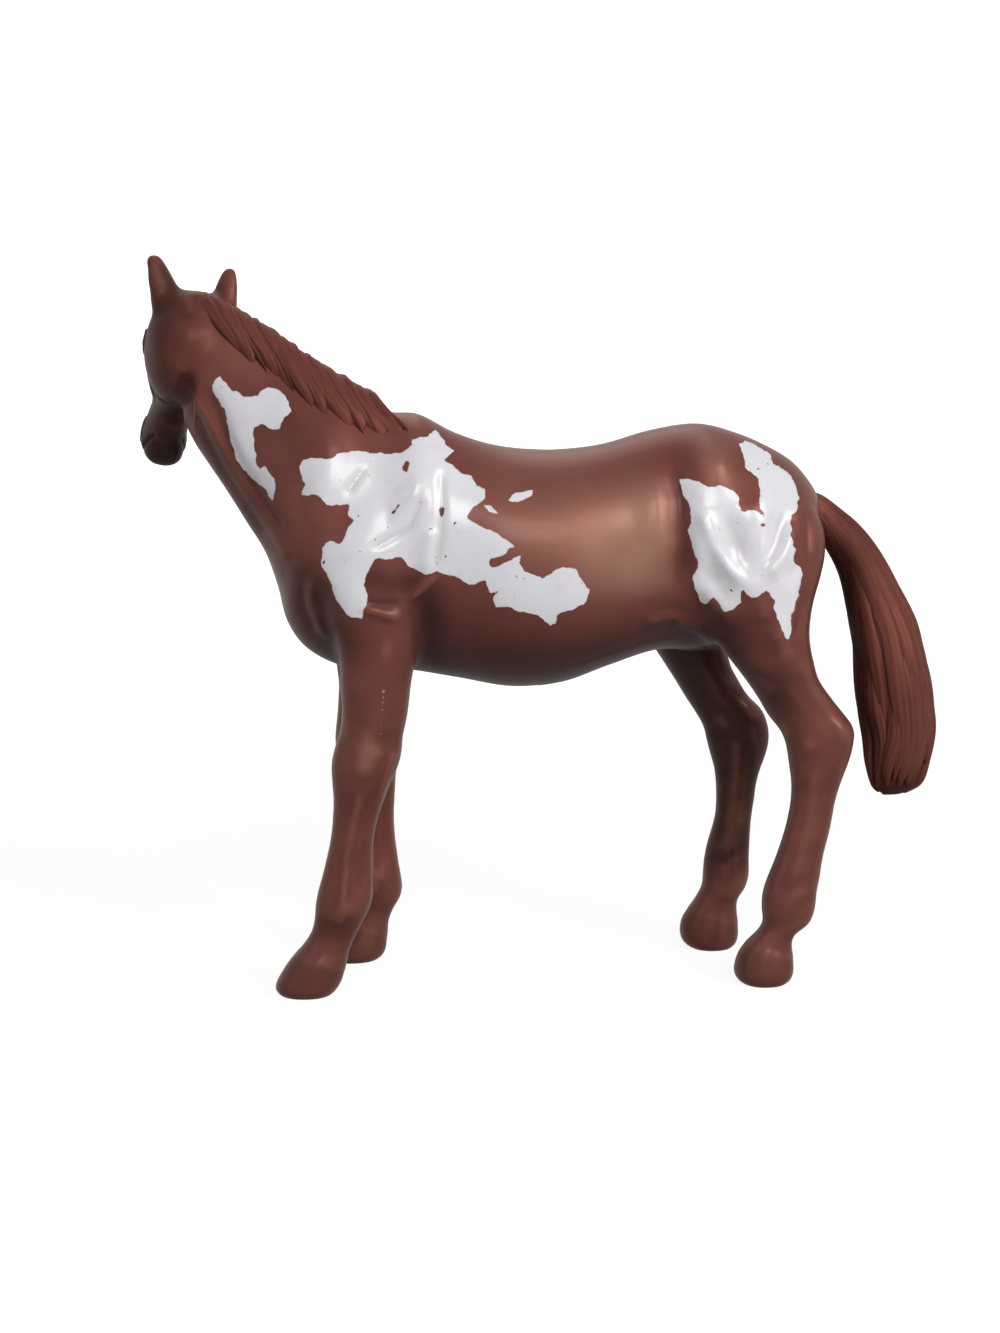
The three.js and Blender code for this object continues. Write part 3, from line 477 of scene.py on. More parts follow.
def about(axis, turn):
    """Matrix that turns points about X, Y or Z, which are axes 0, 1 and 2."""
    matrix, first, second = np.eye(3), (axis + 1) % 3, (axis + 2) % 3
    matrix[first, first] = matrix[second, second] = math.cos(turn)
    matrix[second, first] = math.sin(turn)
    matrix[first, second] = -math.sin(turn)
    return matrix


def head_turn():
    """The head's own frame: +X from poll to lips, +Y to the horse's left, +Z out of its forehead."""
    return about(2, math.pi - HEAD_YAW) @ about(1, HEAD_PITCH) @ about(0, HEAD_TILT)


poll = np.array([
    middle_x + WITHERS_ALONG_SHARE * BODY_LENGTH - POLL_SHARES[0] * NECK_REACH,
    middle_y + NECK_BEND,
    WITHERS_HEIGHT + POLL_SHARES[1] * NECK_RISE,
])


def on_head(shares, side=1):
    """A place on the head in its own frame, from shares of its length, width and depth."""
    return np.array([shares[0] * HEAD_LENGTH, side * shares[1] * HEAD_WIDTH, shares[2] * HEAD_DEPTH])


def head_to_world(points):
    """Points of the head's own frame, set on the neck."""
    return points @ head_turn().T + poll


def world_to_head(points):
    """Points of the figure in the head's own frame."""
    return (points - poll) @ head_turn()


def skull_grid():
    """The skull's loft, in its own frame and then set on the neck."""
    along, face, jaw, half = HEAD_SHARES.T
    rows = columns(along * HEAD_LENGTH, face * HEAD_DEPTH, along * HEAD_LENGTH, jaw * HEAD_DEPTH,
                   half * HEAD_WIDTH, 0, HEAD_WIDEST_SHARE, HEAD_CORNER_SHARE)
    return head_to_world(loft_grid(rows, *SKULL_GRID))


def ear_turn(side):
    """How an ear stands on the head: twisted, laid back and splayed."""
    return about(0, -side * EAR_SPLAY - EAR_LEAN) @ about(1, -EAR_BACK) @ about(2, side * EAR_TWIST)


def ear_grid(side):
    """An ear's loft, which stands up along its own Z, set on the poll."""
    height, width, thickness = EAR_SHARES.T
    height = height * EAR_LENGTH
    if side > 0:
        height, width, thickness = height * EAR_LONGER, width * EAR_WIDER, thickness * EAR_WIDER
    rows = columns(-thickness * EAR_THICKNESS / 2, height, thickness * EAR_THICKNESS / 2, height,
                   width * EAR_WIDTH / 2, 0, 0.5, 1)
    upright = loft_grid(rows, *EAR_GRID) @ ear_turn(side).T
    return head_to_world(upright + on_head(EAR_PLACE_SHARES, side))


def finished_mesh(piece):
    """A new mesh with the piece's modifiers applied, after which the piece is dropped."""
    graph = bpy.context.evaluated_depsgraph_get()
    mesh = bpy.data.meshes.new_from_object(piece.evaluated_get(graph))
    bpy.data.objects.remove(piece)
    return mesh


def one_skin(mesh, voxel):
    """The single closed surface round a mesh of several tubes, remade in voxels of one size."""
    piece = new_object(mesh.name, mesh)
    remesh = piece.modifiers.new("one_skin", "REMESH")
    remesh.mode = "VOXEL"
    remesh.voxel_size = voxel
    return finished_mesh(piece)


def vectors(items, name):
    """One three-part property of many mesh items as an array."""
    values = np.empty(len(items) * 3)
    items.foreach_get(name, values)
    return values.reshape(-1, 3)


def points_and_normals(mesh):
    """Where the vertices are and which way the skin looks there."""
    return vectors(mesh.vertices, "co"), vectors(mesh.vertex_normals, "vector")


def edge_ends(mesh):
    """The two vertices of each edge, as two arrays, and how many edges meet at each vertex."""
    ends = np.empty(len(mesh.edges) * 2, dtype=np.int32)
    mesh.edges.foreach_get("vertices", ends)
    return ends.reshape(-1, 2).T, np.bincount(ends, minlength=len(mesh.vertices)).astype(float)


def neighbour_mean(values, ends, meeting):
    """The mean over each vertex's neighbours: a sum over all edges, both ways, over their number."""
    sums = [np.bincount(ends[0], column[ends[1]], len(column))
            + np.bincount(ends[1], column[ends[0]], len(column)) for column in values.T]
    return np.stack(sums, axis=1) / meeting[:, None]


def put_points(mesh, points):
    """Moves the vertices to new points."""
    mesh.vertices.foreach_set("co", points.ravel())
    mesh.update()


def smooth(mesh, rounds, share=0.5):
    """Each vertex moves a share of the way to the mean of its neighbours, several times."""
    points, (ends, meeting) = vectors(mesh.vertices, "co"), edge_ends(mesh)
    for _ in range(rounds):
        points += share * (neighbour_mean(points, ends, meeting) - points)
    put_points(mesh, points)


def fill_creases(mesh, rounds, share=0.6):
    """Each vertex in a hollow moves out along its normal towards the mean of its neighbours, several
    times. Vertices slide half as fast along the surface, and nothing that bulges is lost."""
    ends, meeting = edge_ends(mesh)
    for _ in range(rounds):
        points, normals = points_and_normals(mesh)
        pull = neighbour_mean(points, ends, meeting) - points
        outward = np.sum(pull * normals, axis=1, keepdims=True)
        slide = pull - outward * normals
        put_points(mesh, points + share * (np.maximum(outward, 0) * normals + slide / 2))


COARSE_VOXEL = 0.0006
CASTING_VOXEL = 0.00038
HEAD_VOXEL = 0.00018
CREASE_REACH = 0.0033  # how far the creases between muscles fill, about
FILLING_INSET = 0.00004
FILLING_ROUNDS = 3  # of smoothing, before the creases are filled
CASTING_ROUNDS = 7

casting_grids = [loft_grid(trunk_rows(), *TRUNK_GRID), skull_grid(), ear_grid(-1), ear_grid(1)]
casting_grids += [loft_grid(leg_rows(leg), *LEG_GRID) for leg in LEGS.values()]
forms = tubes_mesh("forms", casting_grids)
filling = one_skin(forms.copy(), COARSE_VOXEL)
smooth(filling, FILLING_ROUNDS)
fill_creases(filling, int((CREASE_REACH / COARSE_VOXEL) ** 2))
smooth(filling, 1)
filling_points, filling_normals = points_and_normals(filling)
put_points(filling, filling_points - FILLING_INSET * filling_normals)
both = bmesh.new()
both.from_mesh(forms)
both.from_mesh(filling)
both.to_mesh(forms)
both.free()
casting = one_skin(forms, CASTING_VOXEL)
casting.name = "casting"
smooth(casting, CASTING_ROUNDS)

# Muscle lines, as they run on the near side of the photographed figure, in its pixels, then half
# their width and their height in millimetres. Hollows have a height below zero.
PIXEL = CAMERA_DISTANCE / PHOTO_FOCAL_PIXELS * 1000  # its size in the middle plane, in millimetres
MUSCLE_LINES = [
    ([(193, 405), (207, 440), (224, 472), (250, 512), (268, 540)], 0.7, -0.3),
    ([(188, 388), (214, 432), (243, 483), (270, 523), (290, 562)], 0.7, 0.3),
    ([(207, 385), (222, 425), (236, 462), (258, 500), (285, 535)], 1.1, -0.5),
    ([(305, 440), (299, 480), (300, 520), (312, 560)], 1.8, -0.35),
    ([(366, 466), (345, 495)], 0.6, -0.22),
    ([(423, 497), (410, 528), (371, 549)], 0.6, -0.3),
    ([(443, 467), (441, 519), (436, 569)], 0.7, -0.4),
    ([(398, 503), (416, 484)], 1.1, 0.3),
    ([(422, 488), (390, 526)], 0.7, 0.3),
    ([(425, 562), (431, 538)], 1.3, 0.35),
    ([(308, 575), (311, 603), (320, 627), (331, 640)], 0.7, 0.42),
    ([(318, 573), (324, 603), (331, 622)], 1.2, -0.42),
    ([(298, 585), (303, 612), (316, 640)], 0.9, -0.3),
    ([(372, 585), (390, 590), (408, 588)], 2.0, -0.42),
    ([(362, 601), (382, 605), (404, 604)], 0.7, -0.3),
    ([(360, 608), (380, 612), (402, 620)], 0.8, 0.4),
    ([(440, 572), (424, 587), (406, 602)], 0.75, 0.34),
    ([(446, 582), (430, 606), (424, 640), (420, 665)], 1.6, -0.45),
    ([(644, 455), (654, 500), (658, 545), (652, 605)], 2.8, 0.5),
    ([(668, 452), (680, 500), (682, 545), (678, 600)], 2.1, -0.95),
    ([(697, 500), (699, 540), (703, 580)], 1.8, 0.4),
    ([(684, 587), (705, 612), (730, 640)], 1.4, -0.5),
    ([(640, 622), (672, 616), (700, 628), (726, 655), (752, 690), (776, 716)], 0.9, 0.4),
    ([(711, 457), (718, 461)], 2.4, 0.6),
    ([(735, 468), (750, 498)], 2.0, -0.25),
    ([(700, 506), (714, 545), (729, 568), (748, 588)], 0.95, 0.62),
    ([(795, 522), (782, 556), (764, 584)], 0.95, 0.62),
    ([(726, 502), (735, 540), (749, 570)], 1.5, -0.62),
    ([(786, 505), (777, 544), (764, 568)], 1.3, -0.5),
    ([(757, 508), (762, 545)], 2.4, 0.5),
    ([(698, 556), (720, 588), (742, 608)], 1.5, -0.5),
    ([(802, 548), (787, 590)], 1.2, -0.42),
    ([(757, 588), (764, 612)], 1.6, 0.3),
    ([(806, 500), (809, 560), (801, 610), (793, 640)], 0.8, -0.35),
    ([(781, 636), (787, 651)], 1.6, 0.35),
]
FARTHEST = 40  # pixels
MUSCLE_FADE = 0.003  # below a leg's joint its own lines take over
LOOKS_ASIDE = (0.05, 0.4)  # sideways parts of the normals between which muscle lines fade in


def nearest_on_path(pixels, path, farthest=FARTHEST):
    """Distance of each point to a broken line: to the nearest place on each stretch, whose share
    along it is kept between 0 and 1, and the least of these. With it goes how far that place is
    from the nearer end of the line. Neither is worked out far away."""
    corners = np.array(path, float)
    low, high = corners.min(axis=0) - farthest, corners.max(axis=0) + farthest
    close = np.all((pixels > low) & (pixels < high), axis=1)
    ways = np.concatenate([[0], np.cumsum(np.linalg.norm(np.diff(corners, axis=0), axis=1))])
    nearest, to_end = np.full(close.sum(), float(farthest)), np.zeros(close.sum())
    for start, end, way in zip(corners, corners[1:], ways):
        stretch = end - start
        share = np.clip((pixels[close] - start) @ stretch / (stretch @ stretch), 0, 1)
        across = pixels[close] - start - share[:, None] * stretch
        distance = np.hypot(across[:, 0], across[:, 1])
        along = way + share * np.linalg.norm(stretch)
        to_end = np.where(distance < nearest, np.minimum(along, ways[-1] - along), to_end)
        nearest = np.minimum(nearest, distance)
    distances, ends = np.full(len(pixels), float(farthest)), np.zeros(len(pixels))
    distances[close], ends[close] = nearest, to_end
    return distances, ends, ways[-1]


def distance_to_path(pixels, path):
    """Distance of each point to a broken line."""
    return nearest_on_path(pixels, path)[0]


def middle_plane(x):
    """Where the middle plane lies across the figure, from the stations of trunk and neck."""
    rows = trunk_rows()[::-1]
    return np.interp(x, (rows[:, 0] + rows[:, 2]) / 2, rows[:, 5])


def near_side(points):
    """Points of the off side folded over to the near side, through the middle plane."""
    plane = middle_plane(points[:, 0])
    folded = points.copy()
    folded[:, 1] = plane - np.abs(points[:, 1] - plane)
    return folded


def rise(values, low, high):
    """A soft step from 0 at a low value to 1 at a high one: 3s² - 2s³ of the share between them."""
    share = np.clip((values - low) / (high - low), 0, 1)
    return share * share * (3 - 2 * share)


def mound(distance, width):
    """A rounded bump, 1 in its middle: e to the power of minus the squared share of its width."""
    return np.exp(-(distance / width) ** 2)


def line_height(places, path, width, height, unit=1.0):
    """How far a drawn line stands out: a mound across it, which on a long line runs out softly
    towards both ends, over three half widths. Widths are in millimetres, places in a unit."""
    distance, to_end, whole = nearest_on_path(places, path, 3 * width / unit)
    long = whole * unit > 4 * width
    fading = rise(to_end * unit, -0.5 * width, 3 * width) if long else 1
    return height * mound(distance * unit, width) * fading


def muscle_heights(points, normals):
    """How far the trunk's muscle lines stand out at each point, on the faces that look aside."""
    pixels = photo_pixels(near_side(points))
    heights = np.zeros(len(points))
    for path, width, height in MUSCLE_LINES:
        heights += line_height(pixels, path, width, height, PIXEL) / 1000
    aside = rise(np.abs(normals[:, 1]), *LOOKS_ASIDE)
    above = rise(points[:, 2], FORE_SEAM - MUSCLE_FADE, FORE_SEAM)
    return heights * aside * above


# Lines of the legs, which run down them: places from 0 at the ground to 1 at the joint with the
# shares of the half depth from -1 in front to 1 behind, then half width and height in millimetres.
FORE_LINES = [
    ([(0.32, 0.42), (0.5, 0.38), (0.68, 0.36)], 0.8, -0.12),
    ([(0.24, 0.0), (0.3, -0.1), (0.45, -0.15), (0.66, -0.05)], 0.36, 0.2),
    ([(0.8, 0.05), (0.9, 0.0), (1.0, 0.0)], 1.9, 0.24),
    ([(0.745, 0.0), (0.785, 0.12)], 1.4, 0.34),
    ([(0.6, 0.62), (0.7, 0.74), (0.8, 0.86)], 0.5, 0.28),
    ([(0.27, -0.1), (0.29, 0.1)], 1.2, 0.2),
]
HIND_LINES = [
    ([(0.3, 0.4), (0.5, 0.36), (0.7, 0.34)], 0.8, -0.1),
    ([(0.3, -0.1), (0.5, -0.12), (0.7, -0.2)], 0.9, 0.12),
    ([(0.78, 0.36), (0.88, 0.4), (1.0, 0.46)], 1.3, -0.16),
    ([(0.74, 0.6), (0.84, 0.85)], 0.9, 0.35),
    ([(0.7, -0.5), (0.8, -0.4)], 1.2, 0.3),
    ([(0.27, -0.1), (0.29, 0.1)], 1.2, 0.15),
]
HOOF_TOE, HOOF_HEEL = 0.0056, 0.0034  # heights of the hoof's upper edge
LEG_LINE_REACH_SHARE = 0.4  # of a leg's depth, the half depth in which its lines are drawn
LEG_FULLER = 0.00022
LEG_FADE = (0.85, 1.08)  # shares of the joint's height between which a leg's fullness runs out
CORONET_WIDTH = 0.0005
CORONET_HEIGHT = 0.00002
HOOF_STEP = 0.00002
HEEL_CLEFT_WIDTH = 0.0006
HEEL_CLEFT_DEPTH = 0.0005
OFF_THE_MIDDLE = (0.15, 0.5)  # shares of a leg's half width between which its lines fade in


def leg_places(points, leg):
    """Each point's place on a leg: its share of the half depth from front to back, its half depth,
    its share of the half width from the leg's middle, and its height as a share of the joint's."""
    rows = leg_rows(leg)[::-1]
    front, back, half, plane = (np.interp(points[:, 2], rows[:, 1], rows[:, column])
                                for column in (0, 2, 4, 5))
    reach = (back - front) / 2
    return ((points[:, 0] - (front + back) / 2) / reach, reach,
            (points[:, 1] - plane) / half, points[:, 2] / leg["seam"])


def leg_heights(points, leg):
    """How far tendons, knee or hock, fetlock, coronet and hoof stand out at each point of a leg."""
    back, reach, across, up = leg_places(points, leg)
    seam = leg["seam"]
    heights = np.zeros(len(points))
    drawn = np.stack([back * reach, up * seam], axis=-1) * 1000
    for path, width, height in FORE_LINES if seam == FORE_SEAM else HIND_LINES:
        line = np.array(path)[:, ::-1] * (leg["depth"] * LEG_LINE_REACH_SHARE, seam) * 1000
        heights += line_height(drawn, line, width, height) / 1000
    heights *= rise(np.abs(across), *OFF_THE_MIDDLE)
    heights += LEG_FULLER * (1 - rise(up, *LEG_FADE))
    edge = points[:, 2] - (HOOF_TOE + (HOOF_HEEL - HOOF_TOE) * (back + 1) / 2)
    heights += CORONET_HEIGHT * mound(edge - CORONET_WIDTH, CORONET_WIDTH)
    heights -= HOOF_STEP * mound(edge + CORONET_WIDTH / 2, CORONET_WIDTH)
    cleft = mound(across * leg["width"] / 2, HEEL_CLEFT_WIDTH) * rise(back, 0.5, 0.9)
    heights -= HEEL_CLEFT_DEPTH * cleft * rise(-edge, -0.001, 0.001)
    return heights


def sculpt(mesh):
    """Moves the casting's surface out or in by the heights of its muscles, tendons and hooves."""
    points, normals = points_and_normals(mesh)
    heights = muscle_heights(points, normals)
    plane = middle_plane(points[:, 0])
    for leg in LEGS.values():
        chosen = points[:, 2] < leg["seam"] * LEG_FADE[1]
        chosen &= (points[:, 1] - plane) * leg["side"] > 0
        chosen &= (points[:, 0] > middle_x) == (leg in (LEGS["near_hindleg"], LEGS["off_hindleg"]))
        heights[chosen] += leg_heights(points[chosen], leg)
    put_points(mesh, points + heights[:, None] * normals)


sculpt(casting)
smooth(casting, 1)


def relief(mesh, rounds, unit):
    """How far each vertex stands out from the smoothed surface, in a small unit of length: above
    zero on ridges and below in hollows. It is kept between -1 and 1."""
    points, normals = points_and_normals(mesh)
    ends, meeting = edge_ends(mesh)
    level = points.copy()
    for _ in range(rounds):
        level = neighbour_mean(level, ends, meeting)
    out = np.sum((points - level) * normals, axis=1)
    return np.clip(out / unit, -1, 1)


def put_values(mesh, name, values):
    """One number for each vertex, which a material can read by its name."""
    mesh.attributes.new(name, "FLOAT", "POINT").data.foreach_set("value", values.astype(np.float32))


FULL_SHADE_AT, NO_SHADE_AT = -1.1, 0.2  # upward parts of the normals at which the painted shade is fullest and at which it ends
# Legs are darker towards the hooves: the share that is left at the ground, and the heights over which it
# comes back to full.
HOOF_LEVEL, HOOF_LEVEL_END = 0.7, (-0.01, 0.035)
LOOKS_INWARD = (-0.5, 0.1)
# Painted shade on the inner faces of the forelegs and of the hind legs: how much darker, from which heights
# up to which.
INNER_SHADES = [(0.4, 0.030, 0.042), (1.0, 0.010, 0.015)]
INNER_END = (0.054, 0.066)
# Painted highlights and painted shade: paths in the photo's pixels, half width in millimetres and strength,
# lighter above zero and darker below it.
PAINTED_LIGHTS_AND_SHADES = [
    ([(647, 512), (653, 540), (648, 574)], 4.2, 0.68),
    ([(602, 535), (606, 560)], 5.5, 0.4),
    ([(388, 632), (386, 668)], 1.0, 0.25),
    ([(369, 735), (365, 765)], 1.3, 0.4),
    ([(345, 705), (343, 745)], 0.8, 0.15),
    ([(540, 520), (600, 560)], 9.0, 0.2),
    ([(711, 457), (715, 460)], 2.6, 0.35),
    ([(820, 490), (822, 530)], 2.6, 0.2),
    ([(676, 450), (684, 490), (686, 540), (682, 600)], 2.2, -0.38),
    ([(190, 300), (195, 330)], 4.0, -0.22),
    ([(215, 335), (300, 430), (325, 520)], 6.0, -0.3),
    ([(252, 508), (262, 530)], 3.0, -0.2),
    ([(775, 770), (750, 900)], 3.0, -0.25),
    ([(838, 465), (850, 500)], 3.0, -0.5),
    ([(830, 495), (852, 545), (872, 610)], 4.5, -0.6),
    ([(833, 540), (846, 600), (858, 690), (870, 760)], 2.2, -0.8),
    ([(762, 681), (770, 687)], 0.8, 0.4),
    ([(782, 725), (787, 732)], 0.7, 0.5),
    ([(684, 605), (712, 640), (745, 690)], 3.6, -0.65),
    ([(742, 625), (772, 650), (782, 690)], 3.6, -0.38),
    ([(308, 580), (324, 622), (345, 645)], 3.2, -0.45),
    ([(372, 590), (400, 594), (425, 610)], 3.4, -0.5),
    ([(200, 400), (215, 450), (240, 500)], 2.6, -0.3),
    ([(355, 935), (325, 925)], 2.2, -0.3),
    ([(300, 980), (330, 975)], 2.2, -0.25),
    ([(640, 640), (560, 655), (450, 655)], 3.0, -0.2),
    ([(430, 620), (430, 660)], 3.0, -0.3),
]


def looking_inward(points, normals):
    """How far each face looks towards the middle plane, above zero, or away from it, below zero."""
    return -normals[:, 1] * np.sign(points[:, 1] - middle_plane(points[:, 0]))


def paint_light_and_shade(mesh):
    """Painted light and shade at each vertex, 1 for the plain tone, darker below 1 and lighter above it:
    painted shade on faces that look down, darker towards the hooves, painted shade on the inner faces of the
    legs, and painted highlights and shades along paths."""
    points, normals = points_and_normals(mesh)
    light_share = rise(normals[:, 2], FULL_SHADE_AT, NO_SHADE_AT)
    light_share *= HOOF_LEVEL + (1 - HOOF_LEVEL) * rise(points[:, 2], *HOOF_LEVEL_END)
    inward = rise(looking_inward(points, normals), *LOOKS_INWARD)
    inward *= 1 - rise(points[:, 2], *INNER_END)
    for (shade, start, full), chosen in zip(INNER_SHADES, (points[:, 0] < middle_x,
                                                           points[:, 0] >= middle_x)):
        light_share *= 1 - shade * chosen * inward * rise(points[:, 2], start, full)
    pixels = photo_pixels(near_side(points))
    for path, width, strength in PAINTED_LIGHTS_AND_SHADES:
        light_share += line_height(pixels, path, width, strength, PIXEL)
    return np.clip(light_share, 0, 2)


RELIEF_ROUNDS = 8
RELIEF_UNIT = 220 * CASTING_VOXEL**2 / 0.3  # the smoothing reaches less far on a finer mesh
put_values(casting, "relief", relief(casting, RELIEF_ROUNDS, RELIEF_UNIT))
# Painted light and shade over the casting.
put_values(casting, "light_and_shade", paint_light_and_shade(casting))

PAINTED = ("relief", "light_and_shade")
CUT_ROUNDS = 4  # rings of vertices on a cut that take their values from beside it


def block_mesh(low, high):
    """A box between two corners."""
    corners = [(x, y, z) for x in (low[0], high[0]) for y in (low[1], high[1])
               for z in (low[2], high[2])]
    faces = [(0, 1, 3, 2), (4, 6, 7, 5), (0, 4, 5, 1), (2, 3, 7, 6), (0, 2, 6, 4), (1, 5, 7, 3)]
    mesh = bpy.data.meshes.new("block")
    mesh.from_pydata(corners, [], faces)
    return mesh


def cut(name, mesh, block, keep):
    """The part of a mesh inside a block, or what the block leaves of it."""
    piece, knife = new_object(name, mesh), new_object("knife", block)
    boolean = piece.modifiers.new("cut", "BOOLEAN")
    boolean.solver = "MANIFOLD"
    boolean.operation = "INTERSECT" if keep else "DIFFERENCE"
    boolean.object = knife
    result = finished_mesh(piece)
    bpy.data.objects.remove(knife)
    result.name = name
    return result


def sharpen(mesh, on_cut):
    """Smooth shading with sharp edges where both ends lie on a cut. The cut's own vertices take
    the mean of each value that is painted on their neighbours off the cut."""
    mesh.shade_smooth()
    ends, _ = edge_ends(mesh)
    for name in PAINTED:
        values, known = np.empty(len(mesh.vertices)), ~on_cut
        mesh.attributes[name].data.foreach_get("value", values)
        for _ in range(CUT_ROUNDS):
            meeting = sum(np.bincount(ends[side], known[ends[1 - side]], len(known)) for side in (0, 1))
            mean = neighbour_mean((values * known)[:, None], ends, np.maximum(meeting, 1))[:, 0]
            values = np.where(known, values, mean)
            known = known | (meeting > 0)
        mesh.attributes[name].data.foreach_set("value", values.astype(np.float32))
    sharp = on_cut[ends[0]] & on_cut[ends[1]]
    mesh.attributes.new("sharp_edge", "BOOLEAN", "EDGE").data.foreach_set("value", sharp)


FAR = 0.2  # beyond the figure on every side
FORE_JOINT_END = middle_x - 0.019  # the legs' joints lie ahead of this and behind the next
HIND_JOINT_START = middle_x + 0.0172
LEVEL = 1e-7  # a vertex this near to a plane lies on it


def leg_block(leg, lowest, side):
    """The space of one leg, or of a pair of legs where the side is zero."""
    fore = leg["seam"] == FORE_SEAM
    low = [-FAR if fore else HIND_JOINT_START, -FAR, lowest]
    high = [FORE_JOINT_END if fore else FAR, FAR, leg["seam"]]
    if side > 0:
        low[1] = middle_y
    if side < 0:
        high[1] = middle_y
    return block_mesh(low, high)


# Trunk: barrel, neck and the tops of the legs in one moulding of solid PVC, sprayed chestnut, with
# white pinto patches printed over the spray. The other pieces plug into it and are bonded.

SEAM_PLACE_SHARES = (0.33, -0.27, -0.87)  # of the head's depth, from the poll
SEAM_TURN = math.radians(-31)
SEAM_LEAN = math.radians(17)


def seam_axes():
    """The head joint's own axes as rows: across it twice, and forwards out of it."""
    out = np.array([-math.cos(SEAM_TURN) * math.cos(SEAM_LEAN),
                    -math.sin(SEAM_TURN) * math.cos(SEAM_LEAN), math.sin(SEAM_LEAN)])
    across = np.cross((0, 0, 1), out)
    across /= np.linalg.norm(across)
    return np.array([across, np.cross(out, across), out])


seam_place = poll + HEAD_DEPTH * np.array(SEAM_PLACE_SHARES)


def ahead_of_seam(points):
    """How far points lie ahead of the head's joint."""
    return (points - seam_place) @ seam_axes()[2]


def seam_block(start):
    """Everything further ahead of the head's joint than a start."""
    block = block_mesh((-FAR, -FAR, start), (FAR, FAR, FAR))
    put_points(block, vectors(block.vertices, "co") @ seam_axes() + seam_place)
    return block


def with_coat(mesh, material):
    """The same mesh with one material."""
    mesh.materials.clear()
    mesh.materials.append(material)
    return mesh


trunk_mesh = casting
for block in (leg_block(FORE, -FAR, 0), leg_block(HIND, -FAR, 0), seam_block(0)):
    trunk_mesh = cut("pinto_trunk", trunk_mesh, block, False)
trunk_points = vectors(trunk_mesh.vertices, "co")
on_seam = np.abs(ahead_of_seam(trunk_points)) < LEVEL
on_leg_seams = [np.abs(trunk_points[:, 2] - seam) < LEVEL for seam in (FORE_SEAM, HIND_SEAM)]
sharpen(trunk_mesh, on_seam | on_leg_seams[0] | on_leg_seams[1])

# Outlines of the white patches on the near side, in the photograph's pixels.
NECK_PATCH = [
    (220, 375), (212, 386), (214, 396), (225, 409), (228, 425), (230, 441), (238, 461), (252, 479),
    (264, 488), (272, 500), (277, 488), (271, 474), (265, 466), (260, 470), (254, 461), (257, 456),
    (253, 438), (254, 427), (262, 424), (273, 429), (280, 429), (284, 418), (292, 411), (289, 402),
    (279, 390), (266, 385), (261, 391), (258, 396), (245, 397), (238, 391), (233, 391), (225, 383),
]
SHOULDER_PATCH = [
    (301, 460), (321, 458), (330, 459), (338, 454), (358, 450), (371, 452), (377, 454), (401, 453),
    (412, 445), (411, 439), (423, 437), (435, 431), (444, 439), (447, 445), (455, 451), (444, 460),
    (460, 472), (471, 475), (477, 484), (485, 489), (485, 497), (473, 508), (466, 518), (496, 533),
    (514, 546), (522, 555), (518, 563), (525, 571), (543, 579), (555, 570), (565, 566), (576, 570),
    (583, 581), (590, 590), (586, 602), (574, 610), (555, 614), (556, 623), (550, 625), (537, 614),
    (522, 612), (510, 608), (496, 606), (494, 598), (498, 591), (490, 593), (485, 582), (469, 584),
    (461, 579), (441, 573), (436, 572), (425, 575), (409, 565), (401, 557), (382, 560), (378, 558),
    (367, 571), (364, 584), (368, 595), (362, 619), (351, 617), (336, 601), (330, 580), (322, 567),
    (321, 547), (327, 541), (340, 543), (347, 536), (347, 527), (353, 521), (348, 513), (350, 503),
    (340, 506), (327, 505), (317, 495), (301, 495), (305, 484), (300, 471),
]
HIP_PATCH = [
    (678, 480), (688, 478), (700, 482), (706, 487), (720, 484), (734, 491), (740, 498), (737, 503),
    (742, 510), (754, 510), (763, 515), (759, 503), (761, 490), (758, 478), (747, 470), (743, 454),
    (740, 444), (745, 440), (761, 448), (771, 456), (773, 464), (787, 471), (795, 483), (799, 499),
    (797, 510), (792, 515), (791, 534), (795, 550), (794, 561), (802, 569), (801, 585), (791, 620),
    (792, 633), (789, 640), (785, 637), (779, 622), (774, 606), (775, 600), (766, 590), (758, 598),
    (750, 598), (742, 590), (741, 601), (734, 610), (725, 612), (718, 604), (714, 598), (707, 604),
    (700, 602), (692, 579), (696, 571), (700, 561), (692, 547), (688, 531), (691, 518), (690, 504),
    (683, 494),
]
BARREL_ISLAND = [(508, 501), (514, 494), (532, 490), (533, 495), (516, 502)]
BARREL_STREAK = [(484, 506), (490, 504), (499, 513), (496, 515), (488, 511)]
NECK_DOT = [(386, 427), (388, 426), (390, 428), (388, 430)]
NEAR_PATCHES = [NECK_PATCH, SHOULDER_PATCH, HIP_PATCH, BARREL_ISLAND, BARREL_STREAK, NECK_DOT]

# The off side isn't seen, so it has the same kind of patches in other places: each is a near one
# flipped end to end or top to bottom about its own middle, then moved, in the same pixels.
OFF_PATCHES = [(NECK_PATCH, -1, 1, (26, 22)), (SHOULDER_PATCH, -1, 1, (92, 14)),
               (HIP_PATCH, -1, -1, (4, 6)), (BARREL_ISLAND, 1, 1, (-98, 10))]

# Where the white has worn through to the chestnut: paths with half widths in millimetres.
WORN_SPOTS = [
    ([(407, 463), (405, 469)], 0.42), ([(513, 553), (519, 550)], 0.75), ([(494, 563), (510, 557)], 0.6),
    ([(442, 509), (441, 517)], 0.2), ([(517, 576), (518, 577)], 0.15), ([(524, 579), (525, 579)], 0.15),
    ([(762, 525), (763, 525)], 0.3), ([(761, 542), (761, 543)], 0.2), ([(762, 576), (762, 577)], 0.2),
    ([(368, 475), (373, 477)], 0.1), ([(389, 482), (390, 482)], 0.1), ([(399, 505), (393, 513)], 0.12),
]
